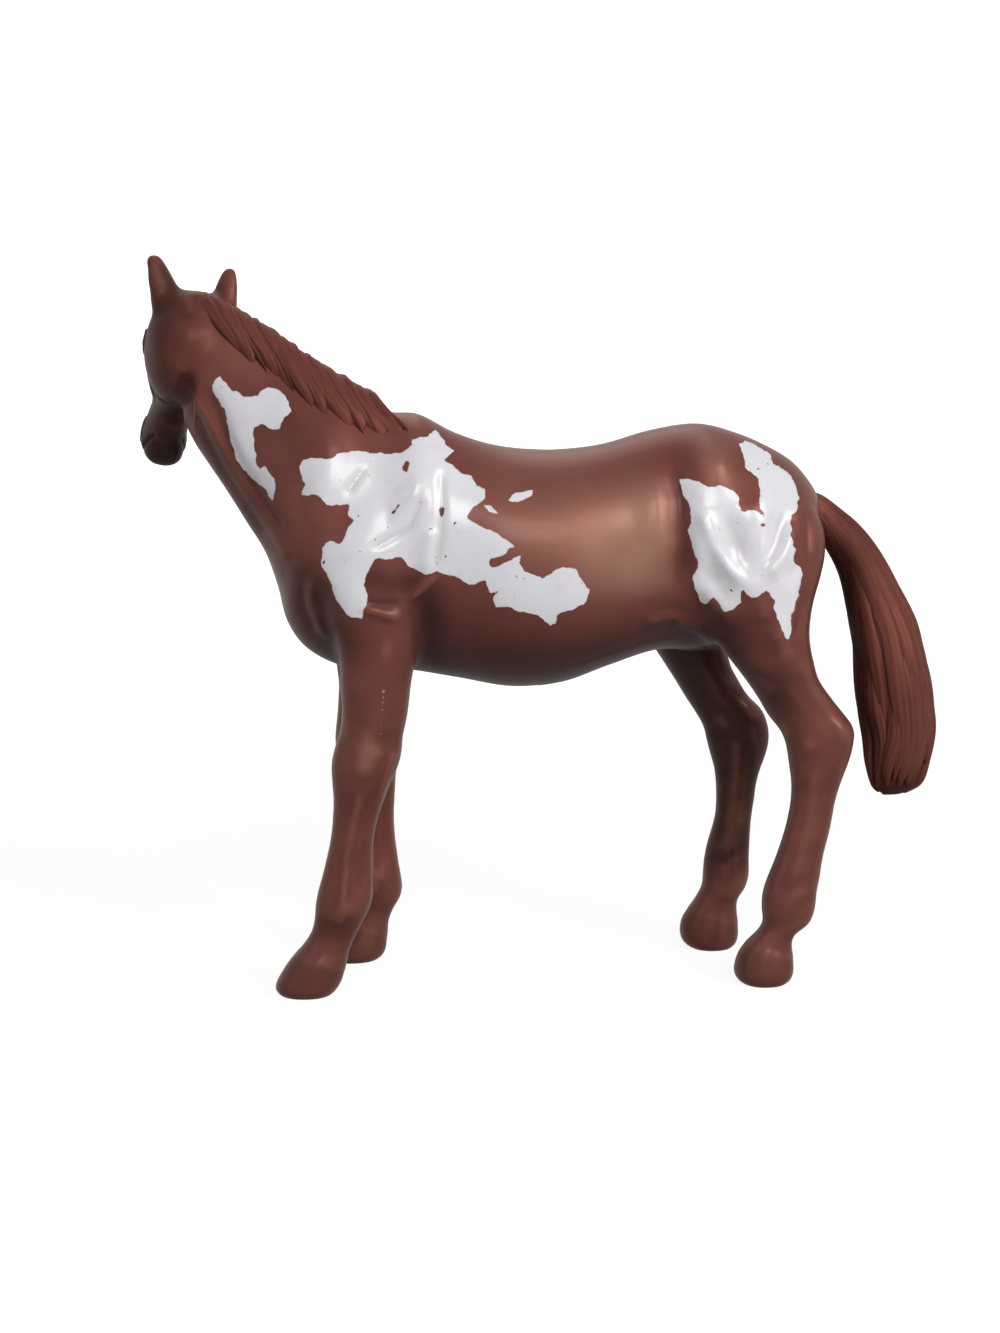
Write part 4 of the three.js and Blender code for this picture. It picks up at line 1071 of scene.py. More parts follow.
# The print doesn't reach the bottom of these muscle lines, and leaves them dotted with chestnut.
DOTTED_LINES = [[(367, 464), (345, 495)], [(423, 497), (410, 528), (371, 549)],
                [(443, 467), (441, 519), (436, 569)], [(765, 512), (756, 560)]]
DOTTED_WIDTH = 0.16
PRINT_MISSES_BY = 9  # millimetres off the white's depth on faces that look inwards
PRINT_MISSES_FACES = (0, 0.3)  # inward parts of the normals between which the print runs out


def placed(outline, along, down, shift):
    """An outline turned about its middle and moved."""
    corners = np.array(outline, float)
    centre = (corners.min(axis=0) + corners.max(axis=0)) / 2
    return [tuple(corner) for corner in (corners - centre) * (along, down) + centre + shift]


def depth_in(pixels, outline):
    """How far each point lies inside a closed outline, and below zero outside it: the distance to
    its nearest stretch, signed by whether a level ray crosses it an odd number of times."""
    closed = list(outline) + [outline[0]]
    x, y = pixels.T
    inside = np.zeros(len(pixels), bool)
    for (x0, y0), (x1, y1) in zip(closed, closed[1:]):
        if y0 != y1:
            inside ^= ((y0 > y) != (y1 > y)) & (x < x0 + (y - y0) * (x1 - x0) / (y1 - y0))
    return np.where(inside, 1, -1) * distance_to_path(pixels, closed)


def white_depth(points):
    """How deep in the white each point lies, in millimetres: the greatest depth in any patch of its
    side, but no more than its distance from the nearest worn spot."""
    pixels = photo_pixels(near_side(points))
    near = np.max([depth_in(pixels, outline) for outline in NEAR_PATCHES], axis=0) * PIXEL
    for path, width in WORN_SPOTS:
        near = np.minimum(near, distance_to_path(pixels, path) * PIXEL - width)
    off = np.max([depth_in(pixels, placed(*patch)) for patch in OFF_PATCHES], axis=0) * PIXEL
    return np.where(points[:, 1] < middle_plane(points[:, 0]), near, off)


def dots_nearness(points):
    """How near each point of the near side lies to a dotted line, 1 on it and 0 far away."""
    pixels = photo_pixels(near_side(points))
    nearest = np.min([distance_to_path(pixels, path) for path in DOTTED_LINES], axis=0)
    near = points[:, 1] < middle_plane(points[:, 0])
    return near * mound(nearest * PIXEL, DOTTED_WIDTH)


print_misses = rise(looking_inward(*points_and_normals(trunk_mesh)), *PRINT_MISSES_FACES)
put_values(trunk_mesh, "white_depth", white_depth(trunk_points) - PRINT_MISSES_BY * print_misses)
put_values(trunk_mesh, "dotted", dots_nearness(trunk_points))


PEARL = 0.28  # the lacquer has copper pearl in it
CLOUD_SCALE, PEEL_SCALE, GRAIN_SCALE = 90, 1500, 5200  # spots to a metre
CLOUD_STEP, HOLLOW_STEP, RIDGE_STEP = (0.35, 0.75), (0.05, 1), (0.35, 1.2)
# Of these shares, the first is cloudy tone, the second and third darken as painted shade, and the last
# lightens ridges, partly as rubbing and partly as a painted highlight.
CLOUDY, SHADED_SHARE, HOLLOW_SHADE_SHARE, RUBBED_AND_LIT = 0.3, 0.95, 0.3, 0.4  # greatest shares of the other tones
PEEL_ON_RIDGES, GRAIN_SHARE = 0.3, 0.25
CLOUDS_ROUGHER, PEEL_ROUGHER, POOLED_ROUGHER, SHADED_ROUGHER = 0.12, 0.1, 0.12, 0.18


def node_group(name, takes, gives):
    """An empty node group with named sockets: its paint, and what it is given and what it results in."""
    tree = bpy.data.node_groups.new(name, "ShaderNodeTree")
    for way, sockets in (("INPUT", takes), ("OUTPUT", gives)):
        for label, kind in sockets.items():
            tree.interface.new_socket(label, in_out=way, socket_type="NodeSocket" + kind)
    return (Paint(tree), tree.nodes.new("NodeGroupInput").outputs,
            tree.nodes.new("NodeGroupOutput").inputs)


def satin_spray():
    """Sprayed satin lacquer on plastic: cloudy tone, painted shade in hollows and where the light and shade
    value is below 1, ridges lighter, partly rubbed and partly a painted highlight, a painted highlight where
    the value is above 1, with a fine orange peel and grain."""
    paint, given, result = node_group(
        "satin_spray",
        {"Place": "Vector", "Relief": "Float", "LightAndShade": "Float", "Tone": "Color", "Hollow": "Color",
         "Ridge": "Color", "Light": "Color", "Gloss": "Float"},
        {"Color": "Color", "Roughness": "Float", "Pearl": "Float", "Height": "Float"})
    clouds = paint.noise(given["Place"], CLOUD_SCALE, 3)
    peel = paint.noise(given["Place"], PEEL_SCALE, 2)
    grain = paint.noise(given["Place"], GRAIN_SCALE, 1)
    sunk = paint.step(paint.times(given["Relief"], -1), *HOLLOW_STEP)
    raised = paint.step(paint.plus(given["Relief"], paint.times(peel, PEEL_ON_RIDGES)), *RIDGE_STEP)
    shaded = paint.minus(1, given["LightAndShade"], clamp=True)
    tone = given["Tone"]
    # Cloudy tone, painted shade, a painted highlight, painted shade in hollows, and ridges that are lighter,
    # partly rubbed and partly a painted highlight.
    for share, other in (
        (paint.times(paint.step(clouds, *CLOUD_STEP), CLOUDY), "Ridge"),
        (paint.times(shaded, SHADED_SHARE), "Hollow"),
        (paint.minus(given["LightAndShade"], 1, clamp=True), "Light"),
        (paint.times(sunk, HOLLOW_SHADE_SHARE), "Hollow"),
        (paint.times(raised, RUBBED_AND_LIT), "Ridge"),
    ):
        tone = paint.color(share, tone, given[other])
    rough = given["Gloss"]
    for part, share in ((paint.minus(clouds, 0.5), CLOUDS_ROUGHER),
                        (paint.minus(peel, 0.5), PEEL_ROUGHER),
                        (sunk, POOLED_ROUGHER), (shaded, SHADED_ROUGHER)):
        rough = paint.plus(rough, paint.times(part, share))
    paint.put(result["Color"], tone)
    paint.put(result["Roughness"], rough)
    paint.put(result["Pearl"], paint.times(paint.minus(1, shaded), PEARL))
    paint.put(result["Height"], paint.plus(peel, paint.times(grain, GRAIN_SHARE)))
    return paint.tree


# The chestnut, a darker copy of it as painted shade, a copper copy as painted highlight, and a lighter one
# for the cloudy tone and for ridges, partly rubbed and partly a painted highlight.
CHESTNUT = (0.120, 0.035, 0.028, 1)
CHESTNUT_PAINTED_SHADE = (0.022, 0.006, 0.005, 1)
PAINTED_COPPER_HIGHLIGHT = (0.290, 0.150, 0.108, 1)
CHESTNUT_RIDGE = (0.200, 0.078, 0.054, 1)
SPRAY_GLOSS = 0.42
SPRAY_SHINE = 0.16
COPPER_SHEEN = (0.6, 0.45, 0.38, 1)
LACQUER = 0.12
LACQUER_ROUGHNESS = 0.2
PEEL_DEPTH = 0.00001
WHITE_PRINT = (0.60, 0.60, 0.64, 1)
# The soiled white also stands in for painted shade in the print's hollows.
WHITE_SOILED_AND_SHADED = (0.46, 0.42, 0.42, 1)
WHITE_GLOSS = 0.4
PRINT_GLAZE = 0.5
PRINT_DEPTH, PRINT_STRENGTH = 0.00004, 0.6
RAGGED = 0.26  # millimetres that the print's edge wanders
PRINT_EDGE, THIN_EDGE = (-0.05, 0.07), (0, 0.35)  # millimetres into the white
RAGGED_SCALE, HOLE_SCALE, SPECK_SCALE, SOIL_SCALE = 620, 2600, 850, 240  # spots to a metre
HOLE_STEP, SPECK_STEP, SOIL_STEP, DUST_AND_SHADE_STEP = (0.5, 0.54), (0.735, 0.75), (0.45, 0.85), (0, 0.9)
SOILED, THIN_EDGE_SOILED, DUST_AND_SHADE = 0.45, 0.22, 0.35  # greatest shares of the soiled white, the last of them dust with painted shade in hollows
SPRAY = satin_spray()


def sprayed(name, tone, hollow, ridge):
    """A material with the satin spray on it. It gives its paint, its surface's sockets, the spray's
    results and the Object coordinates, for its piece to add to."""
    material = bpy.data.materials.new(name)
    material.use_nodes = True
    paint = Paint(material.node_tree)
    place = paint.add("TexCoord").outputs["Object"]
    # The spray reads the painted light and shade from the mesh: its hollow tone is the painted shade, and
    # the copper light is the painted highlight.
    spray = paint.add("Group", {
        "Place": place, "Relief": paint.value("relief"), "LightAndShade": paint.value("light_and_shade"), "Tone": tone,
        "Hollow": hollow, "Ridge": ridge, "Light": PAINTED_COPPER_HIGHLIGHT, "Gloss": SPRAY_GLOSS,
    }, node_tree=SPRAY)
    surface = paint.tree.nodes["Principled BSDF"].inputs
    surface["Specular IOR Level"].default_value = SPRAY_SHINE
    surface["Specular Tint"].default_value = COPPER_SHEEN
    surface["Coat Weight"].default_value = LACQUER
    surface["Coat Roughness"].default_value = LACQUER_ROUGHNESS
    for label, target in (("Color", "Base Color"), ("Roughness", "Roughness"), ("Pearl", "Metallic")):
        paint.put(surface[target], spray.outputs[label])
    bump = paint.add("Bump", {"Height": spray.outputs["Height"], "Strength": 1, "Distance": PEEL_DEPTH})
    paint.put(surface["Normal"], bump.outputs[0])
    return material, paint, surface, spray, place


coat, paint, surface, spray, place = sprayed("pinto_coat", CHESTNUT, CHESTNUT_PAINTED_SHADE, CHESTNUT_RIDGE)
wander = paint.times(paint.minus(paint.noise(place, RAGGED_SCALE, 2), 0.5), 4 * RAGGED)
edge_depth = paint.plus(paint.value("white_depth"), wander)
holes = paint.step(paint.times(paint.noise(place, HOLE_SCALE, 1), paint.value("dotted")), *HOLE_STEP)
specks = paint.step(paint.noise(place, SPECK_SCALE, 2), *SPECK_STEP)
print_mask = paint.times(paint.step(edge_depth, *PRINT_EDGE),
                         paint.minus(1, paint.math("MAXIMUM", holes, specks)))
thin_edge = paint.minus(1, paint.step(edge_depth, *THIN_EDGE))
# Dust with painted shade, in the print's hollows.
dust_and_shade = paint.step(paint.times(paint.value("relief"), -1), *DUST_AND_SHADE_STEP)
soil_and_shade = paint.times(paint.step(paint.noise(place, SOIL_SCALE, 5, 0.65), *SOIL_STEP), SOILED)
soil_and_shade = paint.plus(soil_and_shade, paint.times(thin_edge, THIN_EDGE_SOILED))
soil_and_shade = paint.math("ADD", soil_and_shade, paint.times(dust_and_shade, DUST_AND_SHADE), clamp=True)
white_tone = paint.color(soil_and_shade, WHITE_PRINT, WHITE_SOILED_AND_SHADED)
paint.put(surface["Base Color"], paint.color(print_mask, spray.outputs["Color"], white_tone))
paint.put(surface["Roughness"], paint.number(print_mask, spray.outputs["Roughness"], WHITE_GLOSS))
paint.put(surface["Metallic"], paint.number(print_mask, spray.outputs["Pearl"], 0))
paint.put(surface["Coat Weight"], paint.plus(paint.times(print_mask, PRINT_GLAZE), LACQUER))
print_bump = paint.add("Bump", {
    "Height": print_mask, "Strength": PRINT_STRENGTH, "Distance": PRINT_DEPTH,
    "Normal": surface["Normal"].links[0].from_socket,
})
paint.put(surface["Normal"], print_bump.outputs[0])

trunk = new_object("pinto_trunk", with_coat(trunk_mesh, coat))
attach(trunk, "root")
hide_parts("trunk")


# Legs: four separate mouldings of the same plastic, with a keyed plug into the trunk. The joint is
# filled and sprayed over. Each runs from knee or hock tendons down to a hoof with a flat sole.

HOOF_TONE = (0.085, 0.027, 0.021, 1)
CHIPS = [([(383, 690), (381, 735)], 0.3), ([(376, 696), (388, 689)], 0.25)]  # near foreleg, in the photo
CHIP_TONE = (0.33, 0.20, 0.16, 1)
CHIP_SCALE, HOOF_STREAK_SCALE, HOOF_STRETCH = 2000, 900, 0.18
CHIP_STEP, HOOF_EDGE = (0.48, 0.54), (-1.2, 0.8)  # the second in millimetres below the hoof's edge

leg_coat, paint, surface, spray, place = sprayed("leg_coat", CHESTNUT, CHESTNUT_PAINTED_SHADE, CHESTNUT_RIDGE)
upright = paint.add("Mapping", {"Vector": place, "Scale": (1, 1, HOOF_STRETCH)}).outputs[0]
streaks = paint.step(paint.noise(upright, HOOF_STREAK_SCALE, 3), -1, 1.2)
hoof_share = paint.times(paint.step(paint.value("hoof"), *HOOF_EDGE), streaks)
leg_tone = paint.color(hoof_share, spray.outputs["Color"], HOOF_TONE)
chips = paint.step(paint.times(paint.noise(place, CHIP_SCALE, 1), paint.value("chipped")), *CHIP_STEP)
paint.put(surface["Base Color"], paint.color(chips, leg_tone, CHIP_TONE))

for name, leg in LEGS.items():
    leg_mesh = cut(name, casting, leg_block(leg, 0, leg["side"]), True)
    leg_points = vectors(leg_mesh.vertices, "co")
    on_joint = np.abs(leg_points[:, 2] - leg["seam"]) < LEVEL
    sharpen(leg_mesh, on_joint | (leg_points[:, 2] < LEVEL))
    leg_back = leg_places(leg_points, leg)[0]
    below = HOOF_TOE + (HOOF_HEEL - HOOF_TOE) * (leg_back + 1) / 2 - leg_points[:, 2]
    put_values(leg_mesh, "hoof", below * 1000)
    leg_pixels = photo_pixels(leg_points)
    chipped = [mound(distance_to_path(leg_pixels, path) * PIXEL, width) for path, width in CHIPS]
    on_near_face = (name == "near_foreleg") * (leg_points[:, 1] < middle_y - FORE["track"] / 2)
    put_values(leg_mesh, "chipped", np.max(chipped, axis=0) * on_near_face)
    piece = new_object("sprayed_" + name, with_coat(leg_mesh, leg_coat))
    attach(piece, "root")
    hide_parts(name)


# Head: one moulding with jaw, ears and eyes, plugged on behind the jaw. The muzzle is sprayed dark
# and the eyes are dabbed with black gloss.

EYE_PLACE = (7.9, -3.0)  # along the head from the poll and up from it, in millimetres, as below
EYE_SIZE = (1.5, 1.15)
EYE_BULGE = 0.5
EYE_FROM_MIDDLE = 2.5  # no eye lies nearer to the middle of the face
LID_HEIGHT, LID_PLACE, LID_WIDTH = 0.32, 1.38, 0.2  # places and widths in eye radii
UPPER_LID_HEAVIER = 0.5
EYE_CREASE_DEPTH, EYE_CREASE_PLACE, EYE_CREASE_WIDTH = 0.25, 1.08, 0.12
NOSTRIL_RIM, NOSTRIL_RADIUS, NOSTRIL_RIM_WIDTH = 0.25, 1.0, 0.32
NOSTRIL = [(24.2, -3.1), (25.2, -3.2), (25.6, -4.3)]
# Lines of the head's side view: a path, half its width and its height, hollows below zero.
HEAD_LINES = [
    ([(3.4, -0.4), (5.4, -1.0)], 1.1, -0.5),
    ([(5.6, -1.0), (8.0, -1.1), (10.0, -2.1)], 0.55, 0.42),
    ([(6.2, -4.7), (8.2, -5.2), (10.0, -4.5)], 0.4, -0.22),
    ([(10.2, -5.5), (13.2, -6.3), (16.4, -6.3)], 0.9, 0.3),
    ([(11.0, -7.4), (15.5, -7.7)], 0.8, -0.28),
    ([(12.0, -2.7), (17.0, -3.4), (21.0, -4.0)], 0.8, -0.28),
    ([(11.0, -1.1), (20.0, -1.9)], 0.7, 0.16),
    ([(11.4, -8.2), (12.7, -10.4), (11.7, -12.6), (9.4, -13.8)], 0.6, -0.32),
    ([(27.9, -6.9), (25.0, -7.3), (22.4, -7.9), (21.2, -8.4)], 0.26, -0.45),
    ([(26.8, -5.9), (23.6, -6.5)], 0.6, 0.16),
    ([(24.0, -9.5), (25.2, -9.2)], 1.0, 0.28),
    (NOSTRIL, 0.48, -1.0),
]
JAW_HOLLOW = 1.2  # between the bones of the lower jaw
JAW_HOLLOW_WIDTH = 1.7
JAW_HOLLOW_ENDS = (2.0, 5.0, 15.0, 19.0)
JAW_HEIGHT = -4  # the hollow lies below this
EAR_HOLLOW_WIDTH_SHARE = 0.55
EAR_HOLLOW_ENDS = (0.08, 0.35, 0.72, 1)  # shares of the ear's height
FACING, FACING_MORE = (0.1, 0.5), (0.1, 0.6)  # parts of the normals between which carving fades in
FORELOCK_STRANDS = 7
FORELOCK_HEIGHT = 1.15
FORELOCK_SIZE = (6.0, 2.4)
FORELOCK_PLACE = 3.2
FORELOCK_GROOVED = 0.35
HEAD_SHADE = 0.8  # how much darker the face is painted, as painted shade
HEAD_SHADE_REACH = 0.012
HEAD_SPARE = 0.003  # how far behind its joint the head starts until its finer skin is cut there
HEAD_ROUNDS = 5
HEAD_RELIEF_ROUNDS, HEAD_RELIEF_UNIT = 10, 0.00004
HEAD_CARVED, HEAD_RUBBED = (0.0004, 0.0022), (0.0003, 0.0015)  # ahead of the joint, from none to all

head_mesh = one_skin(cut("head", casting, seam_block(-HEAD_SPARE), True), HEAD_VOXEL)
smooth(head_mesh, HEAD_ROUNDS)
head_mesh = cut("head", head_mesh, seam_block(0), True)


def side_view_heights(places, normals):
    """How far the head's side lines stand out, in millimetres, on the faces that look aside."""
    drawn = places[:, [0, 2]]
    heights = np.zeros(len(places))
    for path, width, height in HEAD_LINES:
        heights += line_height(drawn, path, width, height)
    nostril_edge = distance_to_path(drawn, NOSTRIL) - NOSTRIL_RADIUS
    heights += NOSTRIL_RIM * mound(nostril_edge, NOSTRIL_RIM_WIDTH)
    return heights * rise(np.abs(normals[:, 1]), *FACING)


def eye_distance(places):
    """The distance from the nearer eye's middle, where 1 is its rim: the root of the sum of the
    squared shares of its half length and half height."""
    along = (places[:, 0] - EYE_PLACE[0]) / EYE_SIZE[0]
    up = (places[:, 2] - EYE_PLACE[1]) / EYE_SIZE[1]
    return np.hypot(along, up) + 9 * (np.abs(places[:, 1]) < EYE_FROM_MIDDLE)


def eye_heights(places):
    """A ball within the rim, a crease round it and two lids, of which the upper is heavier."""
    distance = eye_distance(places)
    ball = EYE_BULGE * np.sqrt(np.maximum(1 - distance**2, 0))
    heavier = 1 + UPPER_LID_HEAVIER * rise(places[:, 2], EYE_PLACE[1] - 0.5, EYE_PLACE[1] + 0.5)
    lids = LID_HEIGHT * heavier * mound(distance - LID_PLACE, LID_WIDTH)
    return ball + lids - EYE_CREASE_DEPTH * mound(distance - EYE_CREASE_PLACE, EYE_CREASE_WIDTH)


def within(values, start, full, less, end):
    """1 between two values, with a soft step up before them and one down after them."""
    return rise(values, start, full) * (1 - rise(values, less, end))


def sculpt_head(mesh):
    """Moves the head's surface by all its details, which fade towards the joint."""
    points, normals = points_and_normals(mesh)
    places, facing = world_to_head(points) * 1000, normals @ head_turn()
    heights = side_view_heights(places, facing) + eye_heights(places)
    between_jaws = within(places[:, 0], *JAW_HOLLOW_ENDS)
    below = rise(-facing[:, 2], *FACING_MORE) * (places[:, 2] < JAW_HEIGHT)
    heights -= JAW_HOLLOW * mound(places[:, 1], JAW_HOLLOW_WIDTH) * between_jaws * below
    lock = np.abs(np.sin(places[:, 1] * FORELOCK_STRANDS / FORELOCK_SIZE[1] / 2 + places[:, 0] / 3))
    swell = mound(places[:, 1], FORELOCK_SIZE[1])
    swell *= mound(places[:, 0] - FORELOCK_PLACE, FORELOCK_SIZE[0] / 2)
    grooved = 1 - FORELOCK_GROOVED + FORELOCK_GROOVED * lock
    heights += FORELOCK_HEIGHT * swell * grooved * rise(facing[:, 2], *FACING)
    for side in (-1, 1):
        ear = (world_to_head(points) - on_head(EAR_PLACE_SHARES, side)) @ ear_turn(side)
        facing_ear = facing @ ear_turn(side)
        up = ear[:, 2] / EAR_LENGTH
        opening = within(up, *EAR_HOLLOW_ENDS) * (np.abs(ear[:, 1]) < EAR_WIDTH)
        across = mound(ear[:, 1], EAR_HOLLOW_WIDTH_SHARE * EAR_WIDTH / 2)
        front = rise(facing_ear[:, 0], *FACING_MORE) * (np.abs(ear[:, 0]) < EAR_THICKNESS)
        heights -= EAR_HOLLOW * 1000 * opening * across * front
    heights *= rise(ahead_of_seam(points), *HEAD_CARVED)
    put_points(mesh, points + heights[:, None] / 1000 * normals)


sculpt_head(head_mesh)
head_points = vectors(head_mesh.vertices, "co")
head_places = world_to_head(head_points) * 1000
put_values(head_mesh, "eye", 1 - eye_distance(head_places))
seam_fade = rise(ahead_of_seam(head_points), *HEAD_RUBBED)
put_values(head_mesh, "relief", seam_fade * relief(head_mesh, HEAD_RELIEF_ROUNDS, HEAD_RELIEF_UNIT))
put_values(head_mesh, "muzzle", head_places[:, 0])
# Painted shade over the face, ahead of the joint.
darker_face = 1 - HEAD_SHADE * rise(ahead_of_seam(head_points), 0, HEAD_SHADE_REACH)
put_values(head_mesh, "light_and_shade", paint_light_and_shade(head_mesh) * darker_face)
sharpen(head_mesh, np.abs(ahead_of_seam(head_points)) < LEVEL)

MUZZLE_EDGE = (15.0, 25.0)  # millimetres along the head
MUZZLE_DRIFT, MUZZLE_SCALE = 5, 500
EYE_EDGE = (-0.04, 0.05)
MUZZLE_TONE = (0.024, 0.011, 0.011, 1)
EYE_TONE = (0.008, 0.006, 0.005, 1)
EYE_GLOSS = 0.12
HEAD_LACQUER = 0.03

head_coat, paint, surface, spray, place = sprayed("head_coat", CHESTNUT, CHESTNUT_PAINTED_SHADE, CHESTNUT_RIDGE)
drift = paint.times(paint.minus(paint.noise(place, MUZZLE_SCALE, 4), 0.5), MUZZLE_DRIFT)
dark = paint.step(paint.plus(paint.value("muzzle"), drift), *MUZZLE_EDGE)
tone = paint.color(dark, spray.outputs["Color"], MUZZLE_TONE)
painted_eye = paint.step(paint.value("eye"), *EYE_EDGE)
surface["Coat Weight"].default_value = HEAD_LACQUER
paint.put(surface["Base Color"], paint.color(painted_eye, tone, EYE_TONE))
paint.put(surface["Roughness"], paint.number(painted_eye, spray.outputs["Roughness"], EYE_GLOSS))

head = new_object("turned_head", with_coat(head_mesh, head_coat))
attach(head, "root")
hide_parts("head")


# Mane: a moulded strip of tapering locks, which springs from the crest and lies on the near side of
# the neck. Broad locks overlap like shingles, and thin strands lie on them.

MANE_ENDS = (0.6, 0.965)  # on the trunk's skin, from rump to poll
CREST_STEPS = 400
MANE_DROP = 0.0038
MANE_THICKNESS = 0.0013
MANE_CREST_LIFT = 0.0011  # how much thicker the locks are on the crest
MANE_OVER = 0.0012  # how far the roots start over the crest, on the off side
MANE_FALL_SHARES = np.array([0.55, 0.8, 0.92, 0.98, 1, 1.06, 1.06, 0.85])
BROAD_LOCKS = 10
BROAD_WIDTH = 0.0070
BROAD_STRANDS = 3
FINE_LOCKS = 11
FINE_WIDTH = 0.0026
FINE_STRANDS = 1
BLUNT, POINTED = 3.4, 2.2  # powers of the tapers of broad and fine locks
BROAD_GRID = (60, 44)  # rings and sides of a lock's surface
FINE_GRID = (50, 26)
BROAD_LIFT, FINE_LIFT = 0.0001, 0.0004  # off the neck: broad locks in three steps, fine ones over them
LOCK_START = 0.002  # how far the locks' roots are moved along the crest towards the poll
LOCK_SLANT = 0.0082
LOCK_CURL = 0.0006
HAIR_SINK = 0.0006  # how far the undersides of locks lie below the skin
MANE_STRAND_SHARE = 0.17  # of a lock's thickness, the depth of the grooves between strands

neck_rows = trunk_rows()
crest_t = np.linspace(0.5, 1, CREST_STEPS)
crest = skin(neck_rows, crest_t, np.zeros(CREST_STEPS))
crest_way = np.concatenate([[0], np.cumsum(np.linalg.norm(np.diff(crest, axis=0), axis=1))])


def round_neck(t, drop):
    """How far round the neck a strand has turned when it hangs down by a length, to the near side,
    or to the off side where the length is below zero: the arc whose cosine is 1 less its share of
    the way down to the neck's widest place."""
    row = through(neck_rows, t)
    deep = np.linalg.norm(row[..., 2:4] - row[..., 0:2], axis=-1) * NECK_WIDEST_SHARE
    return -np.sign(drop) * np.arccos(np.clip(1 - np.abs(drop) / deep, 0, 1))


def strand_ridges(across, strands, phase):
    """Rounded ridges side by side across a lock, from 0 in the grooves to 1: the size of a cosine."""
    return np.abs(np.cos(np.pi * (strands * across + phase) / 2)) ** 0.7


def lock_section(rings, sides, strands, phase, waves):
    """A lock's length from 0 to 1, its place across from -1 to 1, how far up its round section each
    point is, and the height of its strand ridges there, which wander a little on their way."""
    length, round_it = round_grid(rings, sides)
    across, up = np.cos(round_it), np.sin(round_it)
    ridges = strand_ridges(across, strands, phase + 0.3 * np.sin(waves * length * np.pi))
    return length, across, up, ridges


def taper(length, point):
    """A lock's width along it: it opens within its first eighth and closes in a long point."""
    return np.sqrt(np.minimum(length * 8, 1)) * (1 - length**point) ** 0.8


def mane_lock(way, fall, width, thickness, strands, lift, phase, grid_size, point):
    """A lock of the mane over the skin of the neck. Down its length it slants back along the crest,
    hangs down by its fall, and stands off the skin by a round section with strand ridges."""
    length, across, up, ridges = lock_section(*grid_size, strands, phase, 2 + phase)
    narrowing = taper(length, point)
    curl = LOCK_CURL * np.sin((length * 1.3 + phase) * np.pi)
    place = way - LOCK_SLANT * length**1.15 * (fall / MANE_DROP) ** 0.5 + curl
    t = np.interp(place + across * narrowing * width / 2, crest_way, crest_t)
    drop = -MANE_OVER + (fall + MANE_OVER) * length
    body = thickness * (0.5 + 0.6 * np.sin(np.pi * length**1.4) ** 0.8)
    body *= 1 - length**6
    grooved = 1 - MANE_STRAND_SHARE * (1 - ridges) * rise(length, 0.02, 0.3)
    body += MANE_CREST_LIFT * (1 - rise(length, 0.1, 0.7))
    above = lift * np.sin(np.pi * length) ** 0.5 + body * np.maximum(up, 0) * grooved
    below = HAIR_SINK * np.maximum(-up, 0)
    grid = skin(neck_rows, t, round_neck(t, drop), above - below)
    strand = np.stack([across * width / 2, length * fall, np.full(length.shape, phase)], axis=-1)
    return grid, strand, np.where(up > 0, ridges * 0.9 - 0.5, -1)


def hair_mesh(name, locks):
    """One mesh of many locks, with the place along and across each strand for the material."""
    mesh = tubes_mesh(name, [grid for grid, _, _ in locks])
    with_ends = [np.vstack([strand.reshape(-1, 3), strand[0].mean(axis=0), strand[-1].mean(axis=0)])
                 for _, strand, _ in locks]
    mesh.attributes.new("strand", "FLOAT_VECTOR", "POINT").data.foreach_set(
        "vector", np.vstack(with_ends).ravel())
    heights = [np.concatenate([ridges.ravel(), [0, 0]]) for _, _, ridges in locks]
    put_values(mesh, "relief", np.concatenate(heights))
    # Painted light and shade on the hair, as on the coat.
    put_values(mesh, "light_and_shade", paint_light_and_shade(mesh))
    mesh.shade_smooth()
    return mesh


def root_and_fall(along):
    """Where on the crest a lock springs from and how far it hangs, by its share of the mane."""
    way_start, way_end = np.interp(MANE_ENDS, crest_t, crest_way)
    fall = MANE_DROP * np.interp(along, np.linspace(0, 1, len(MANE_FALL_SHARES)), MANE_FALL_SHARES)
    return way_start + along * (way_end - way_start) + LOCK_START, fall


chance = np.random.default_rng(4)
mane_locks = []
for number in range(BROAD_LOCKS):
    way, fall = root_and_fall((number + 0.5 + chance.uniform(-0.25, 0.25)) / BROAD_LOCKS)
    mane_locks.append(mane_lock(
        way, fall * chance.uniform(0.88, 1.14), BROAD_WIDTH * chance.uniform(0.85, 1.2), MANE_THICKNESS,
        BROAD_STRANDS, BROAD_LIFT * (number % 3), chance.uniform(0, 1), BROAD_GRID, BLUNT))
for number in range(FINE_LOCKS):  # closer towards the withers
    way, fall = root_and_fall(((number + chance.uniform(0.2, 0.8)) / FINE_LOCKS) ** 1.5)
    mane_locks.append(mane_lock(
        way, fall * chance.uniform(0.85, 1.18), FINE_WIDTH * chance.uniform(0.8, 1.2),
        MANE_THICKNESS * chance.uniform(0.75, 1), FINE_STRANDS, FINE_LIFT, chance.uniform(0, 1),
        FINE_GRID, POINTED))

# The hair's tone, a darker copy as painted shade, and a lighter one for streaks, clouds and ridges, on
# ridges partly a painted highlight.
HAIR_TONE = (0.105, 0.031, 0.024, 1)
HAIR_PAINTED_SHADE = (0.024, 0.007, 0.005, 1)
HAIR_RIDGE = (0.155, 0.055, 0.041, 1)
STRAND_BUMP = 0.00004
HAIR_GLOSS = 0.5
HAIR_SHINE = 0.1
HAIR_SCALE, HAIR_STRETCH = 2600, 0.07
STREAK_STEP, STREAK_SHARE = (0.35, 0.7), 0.3

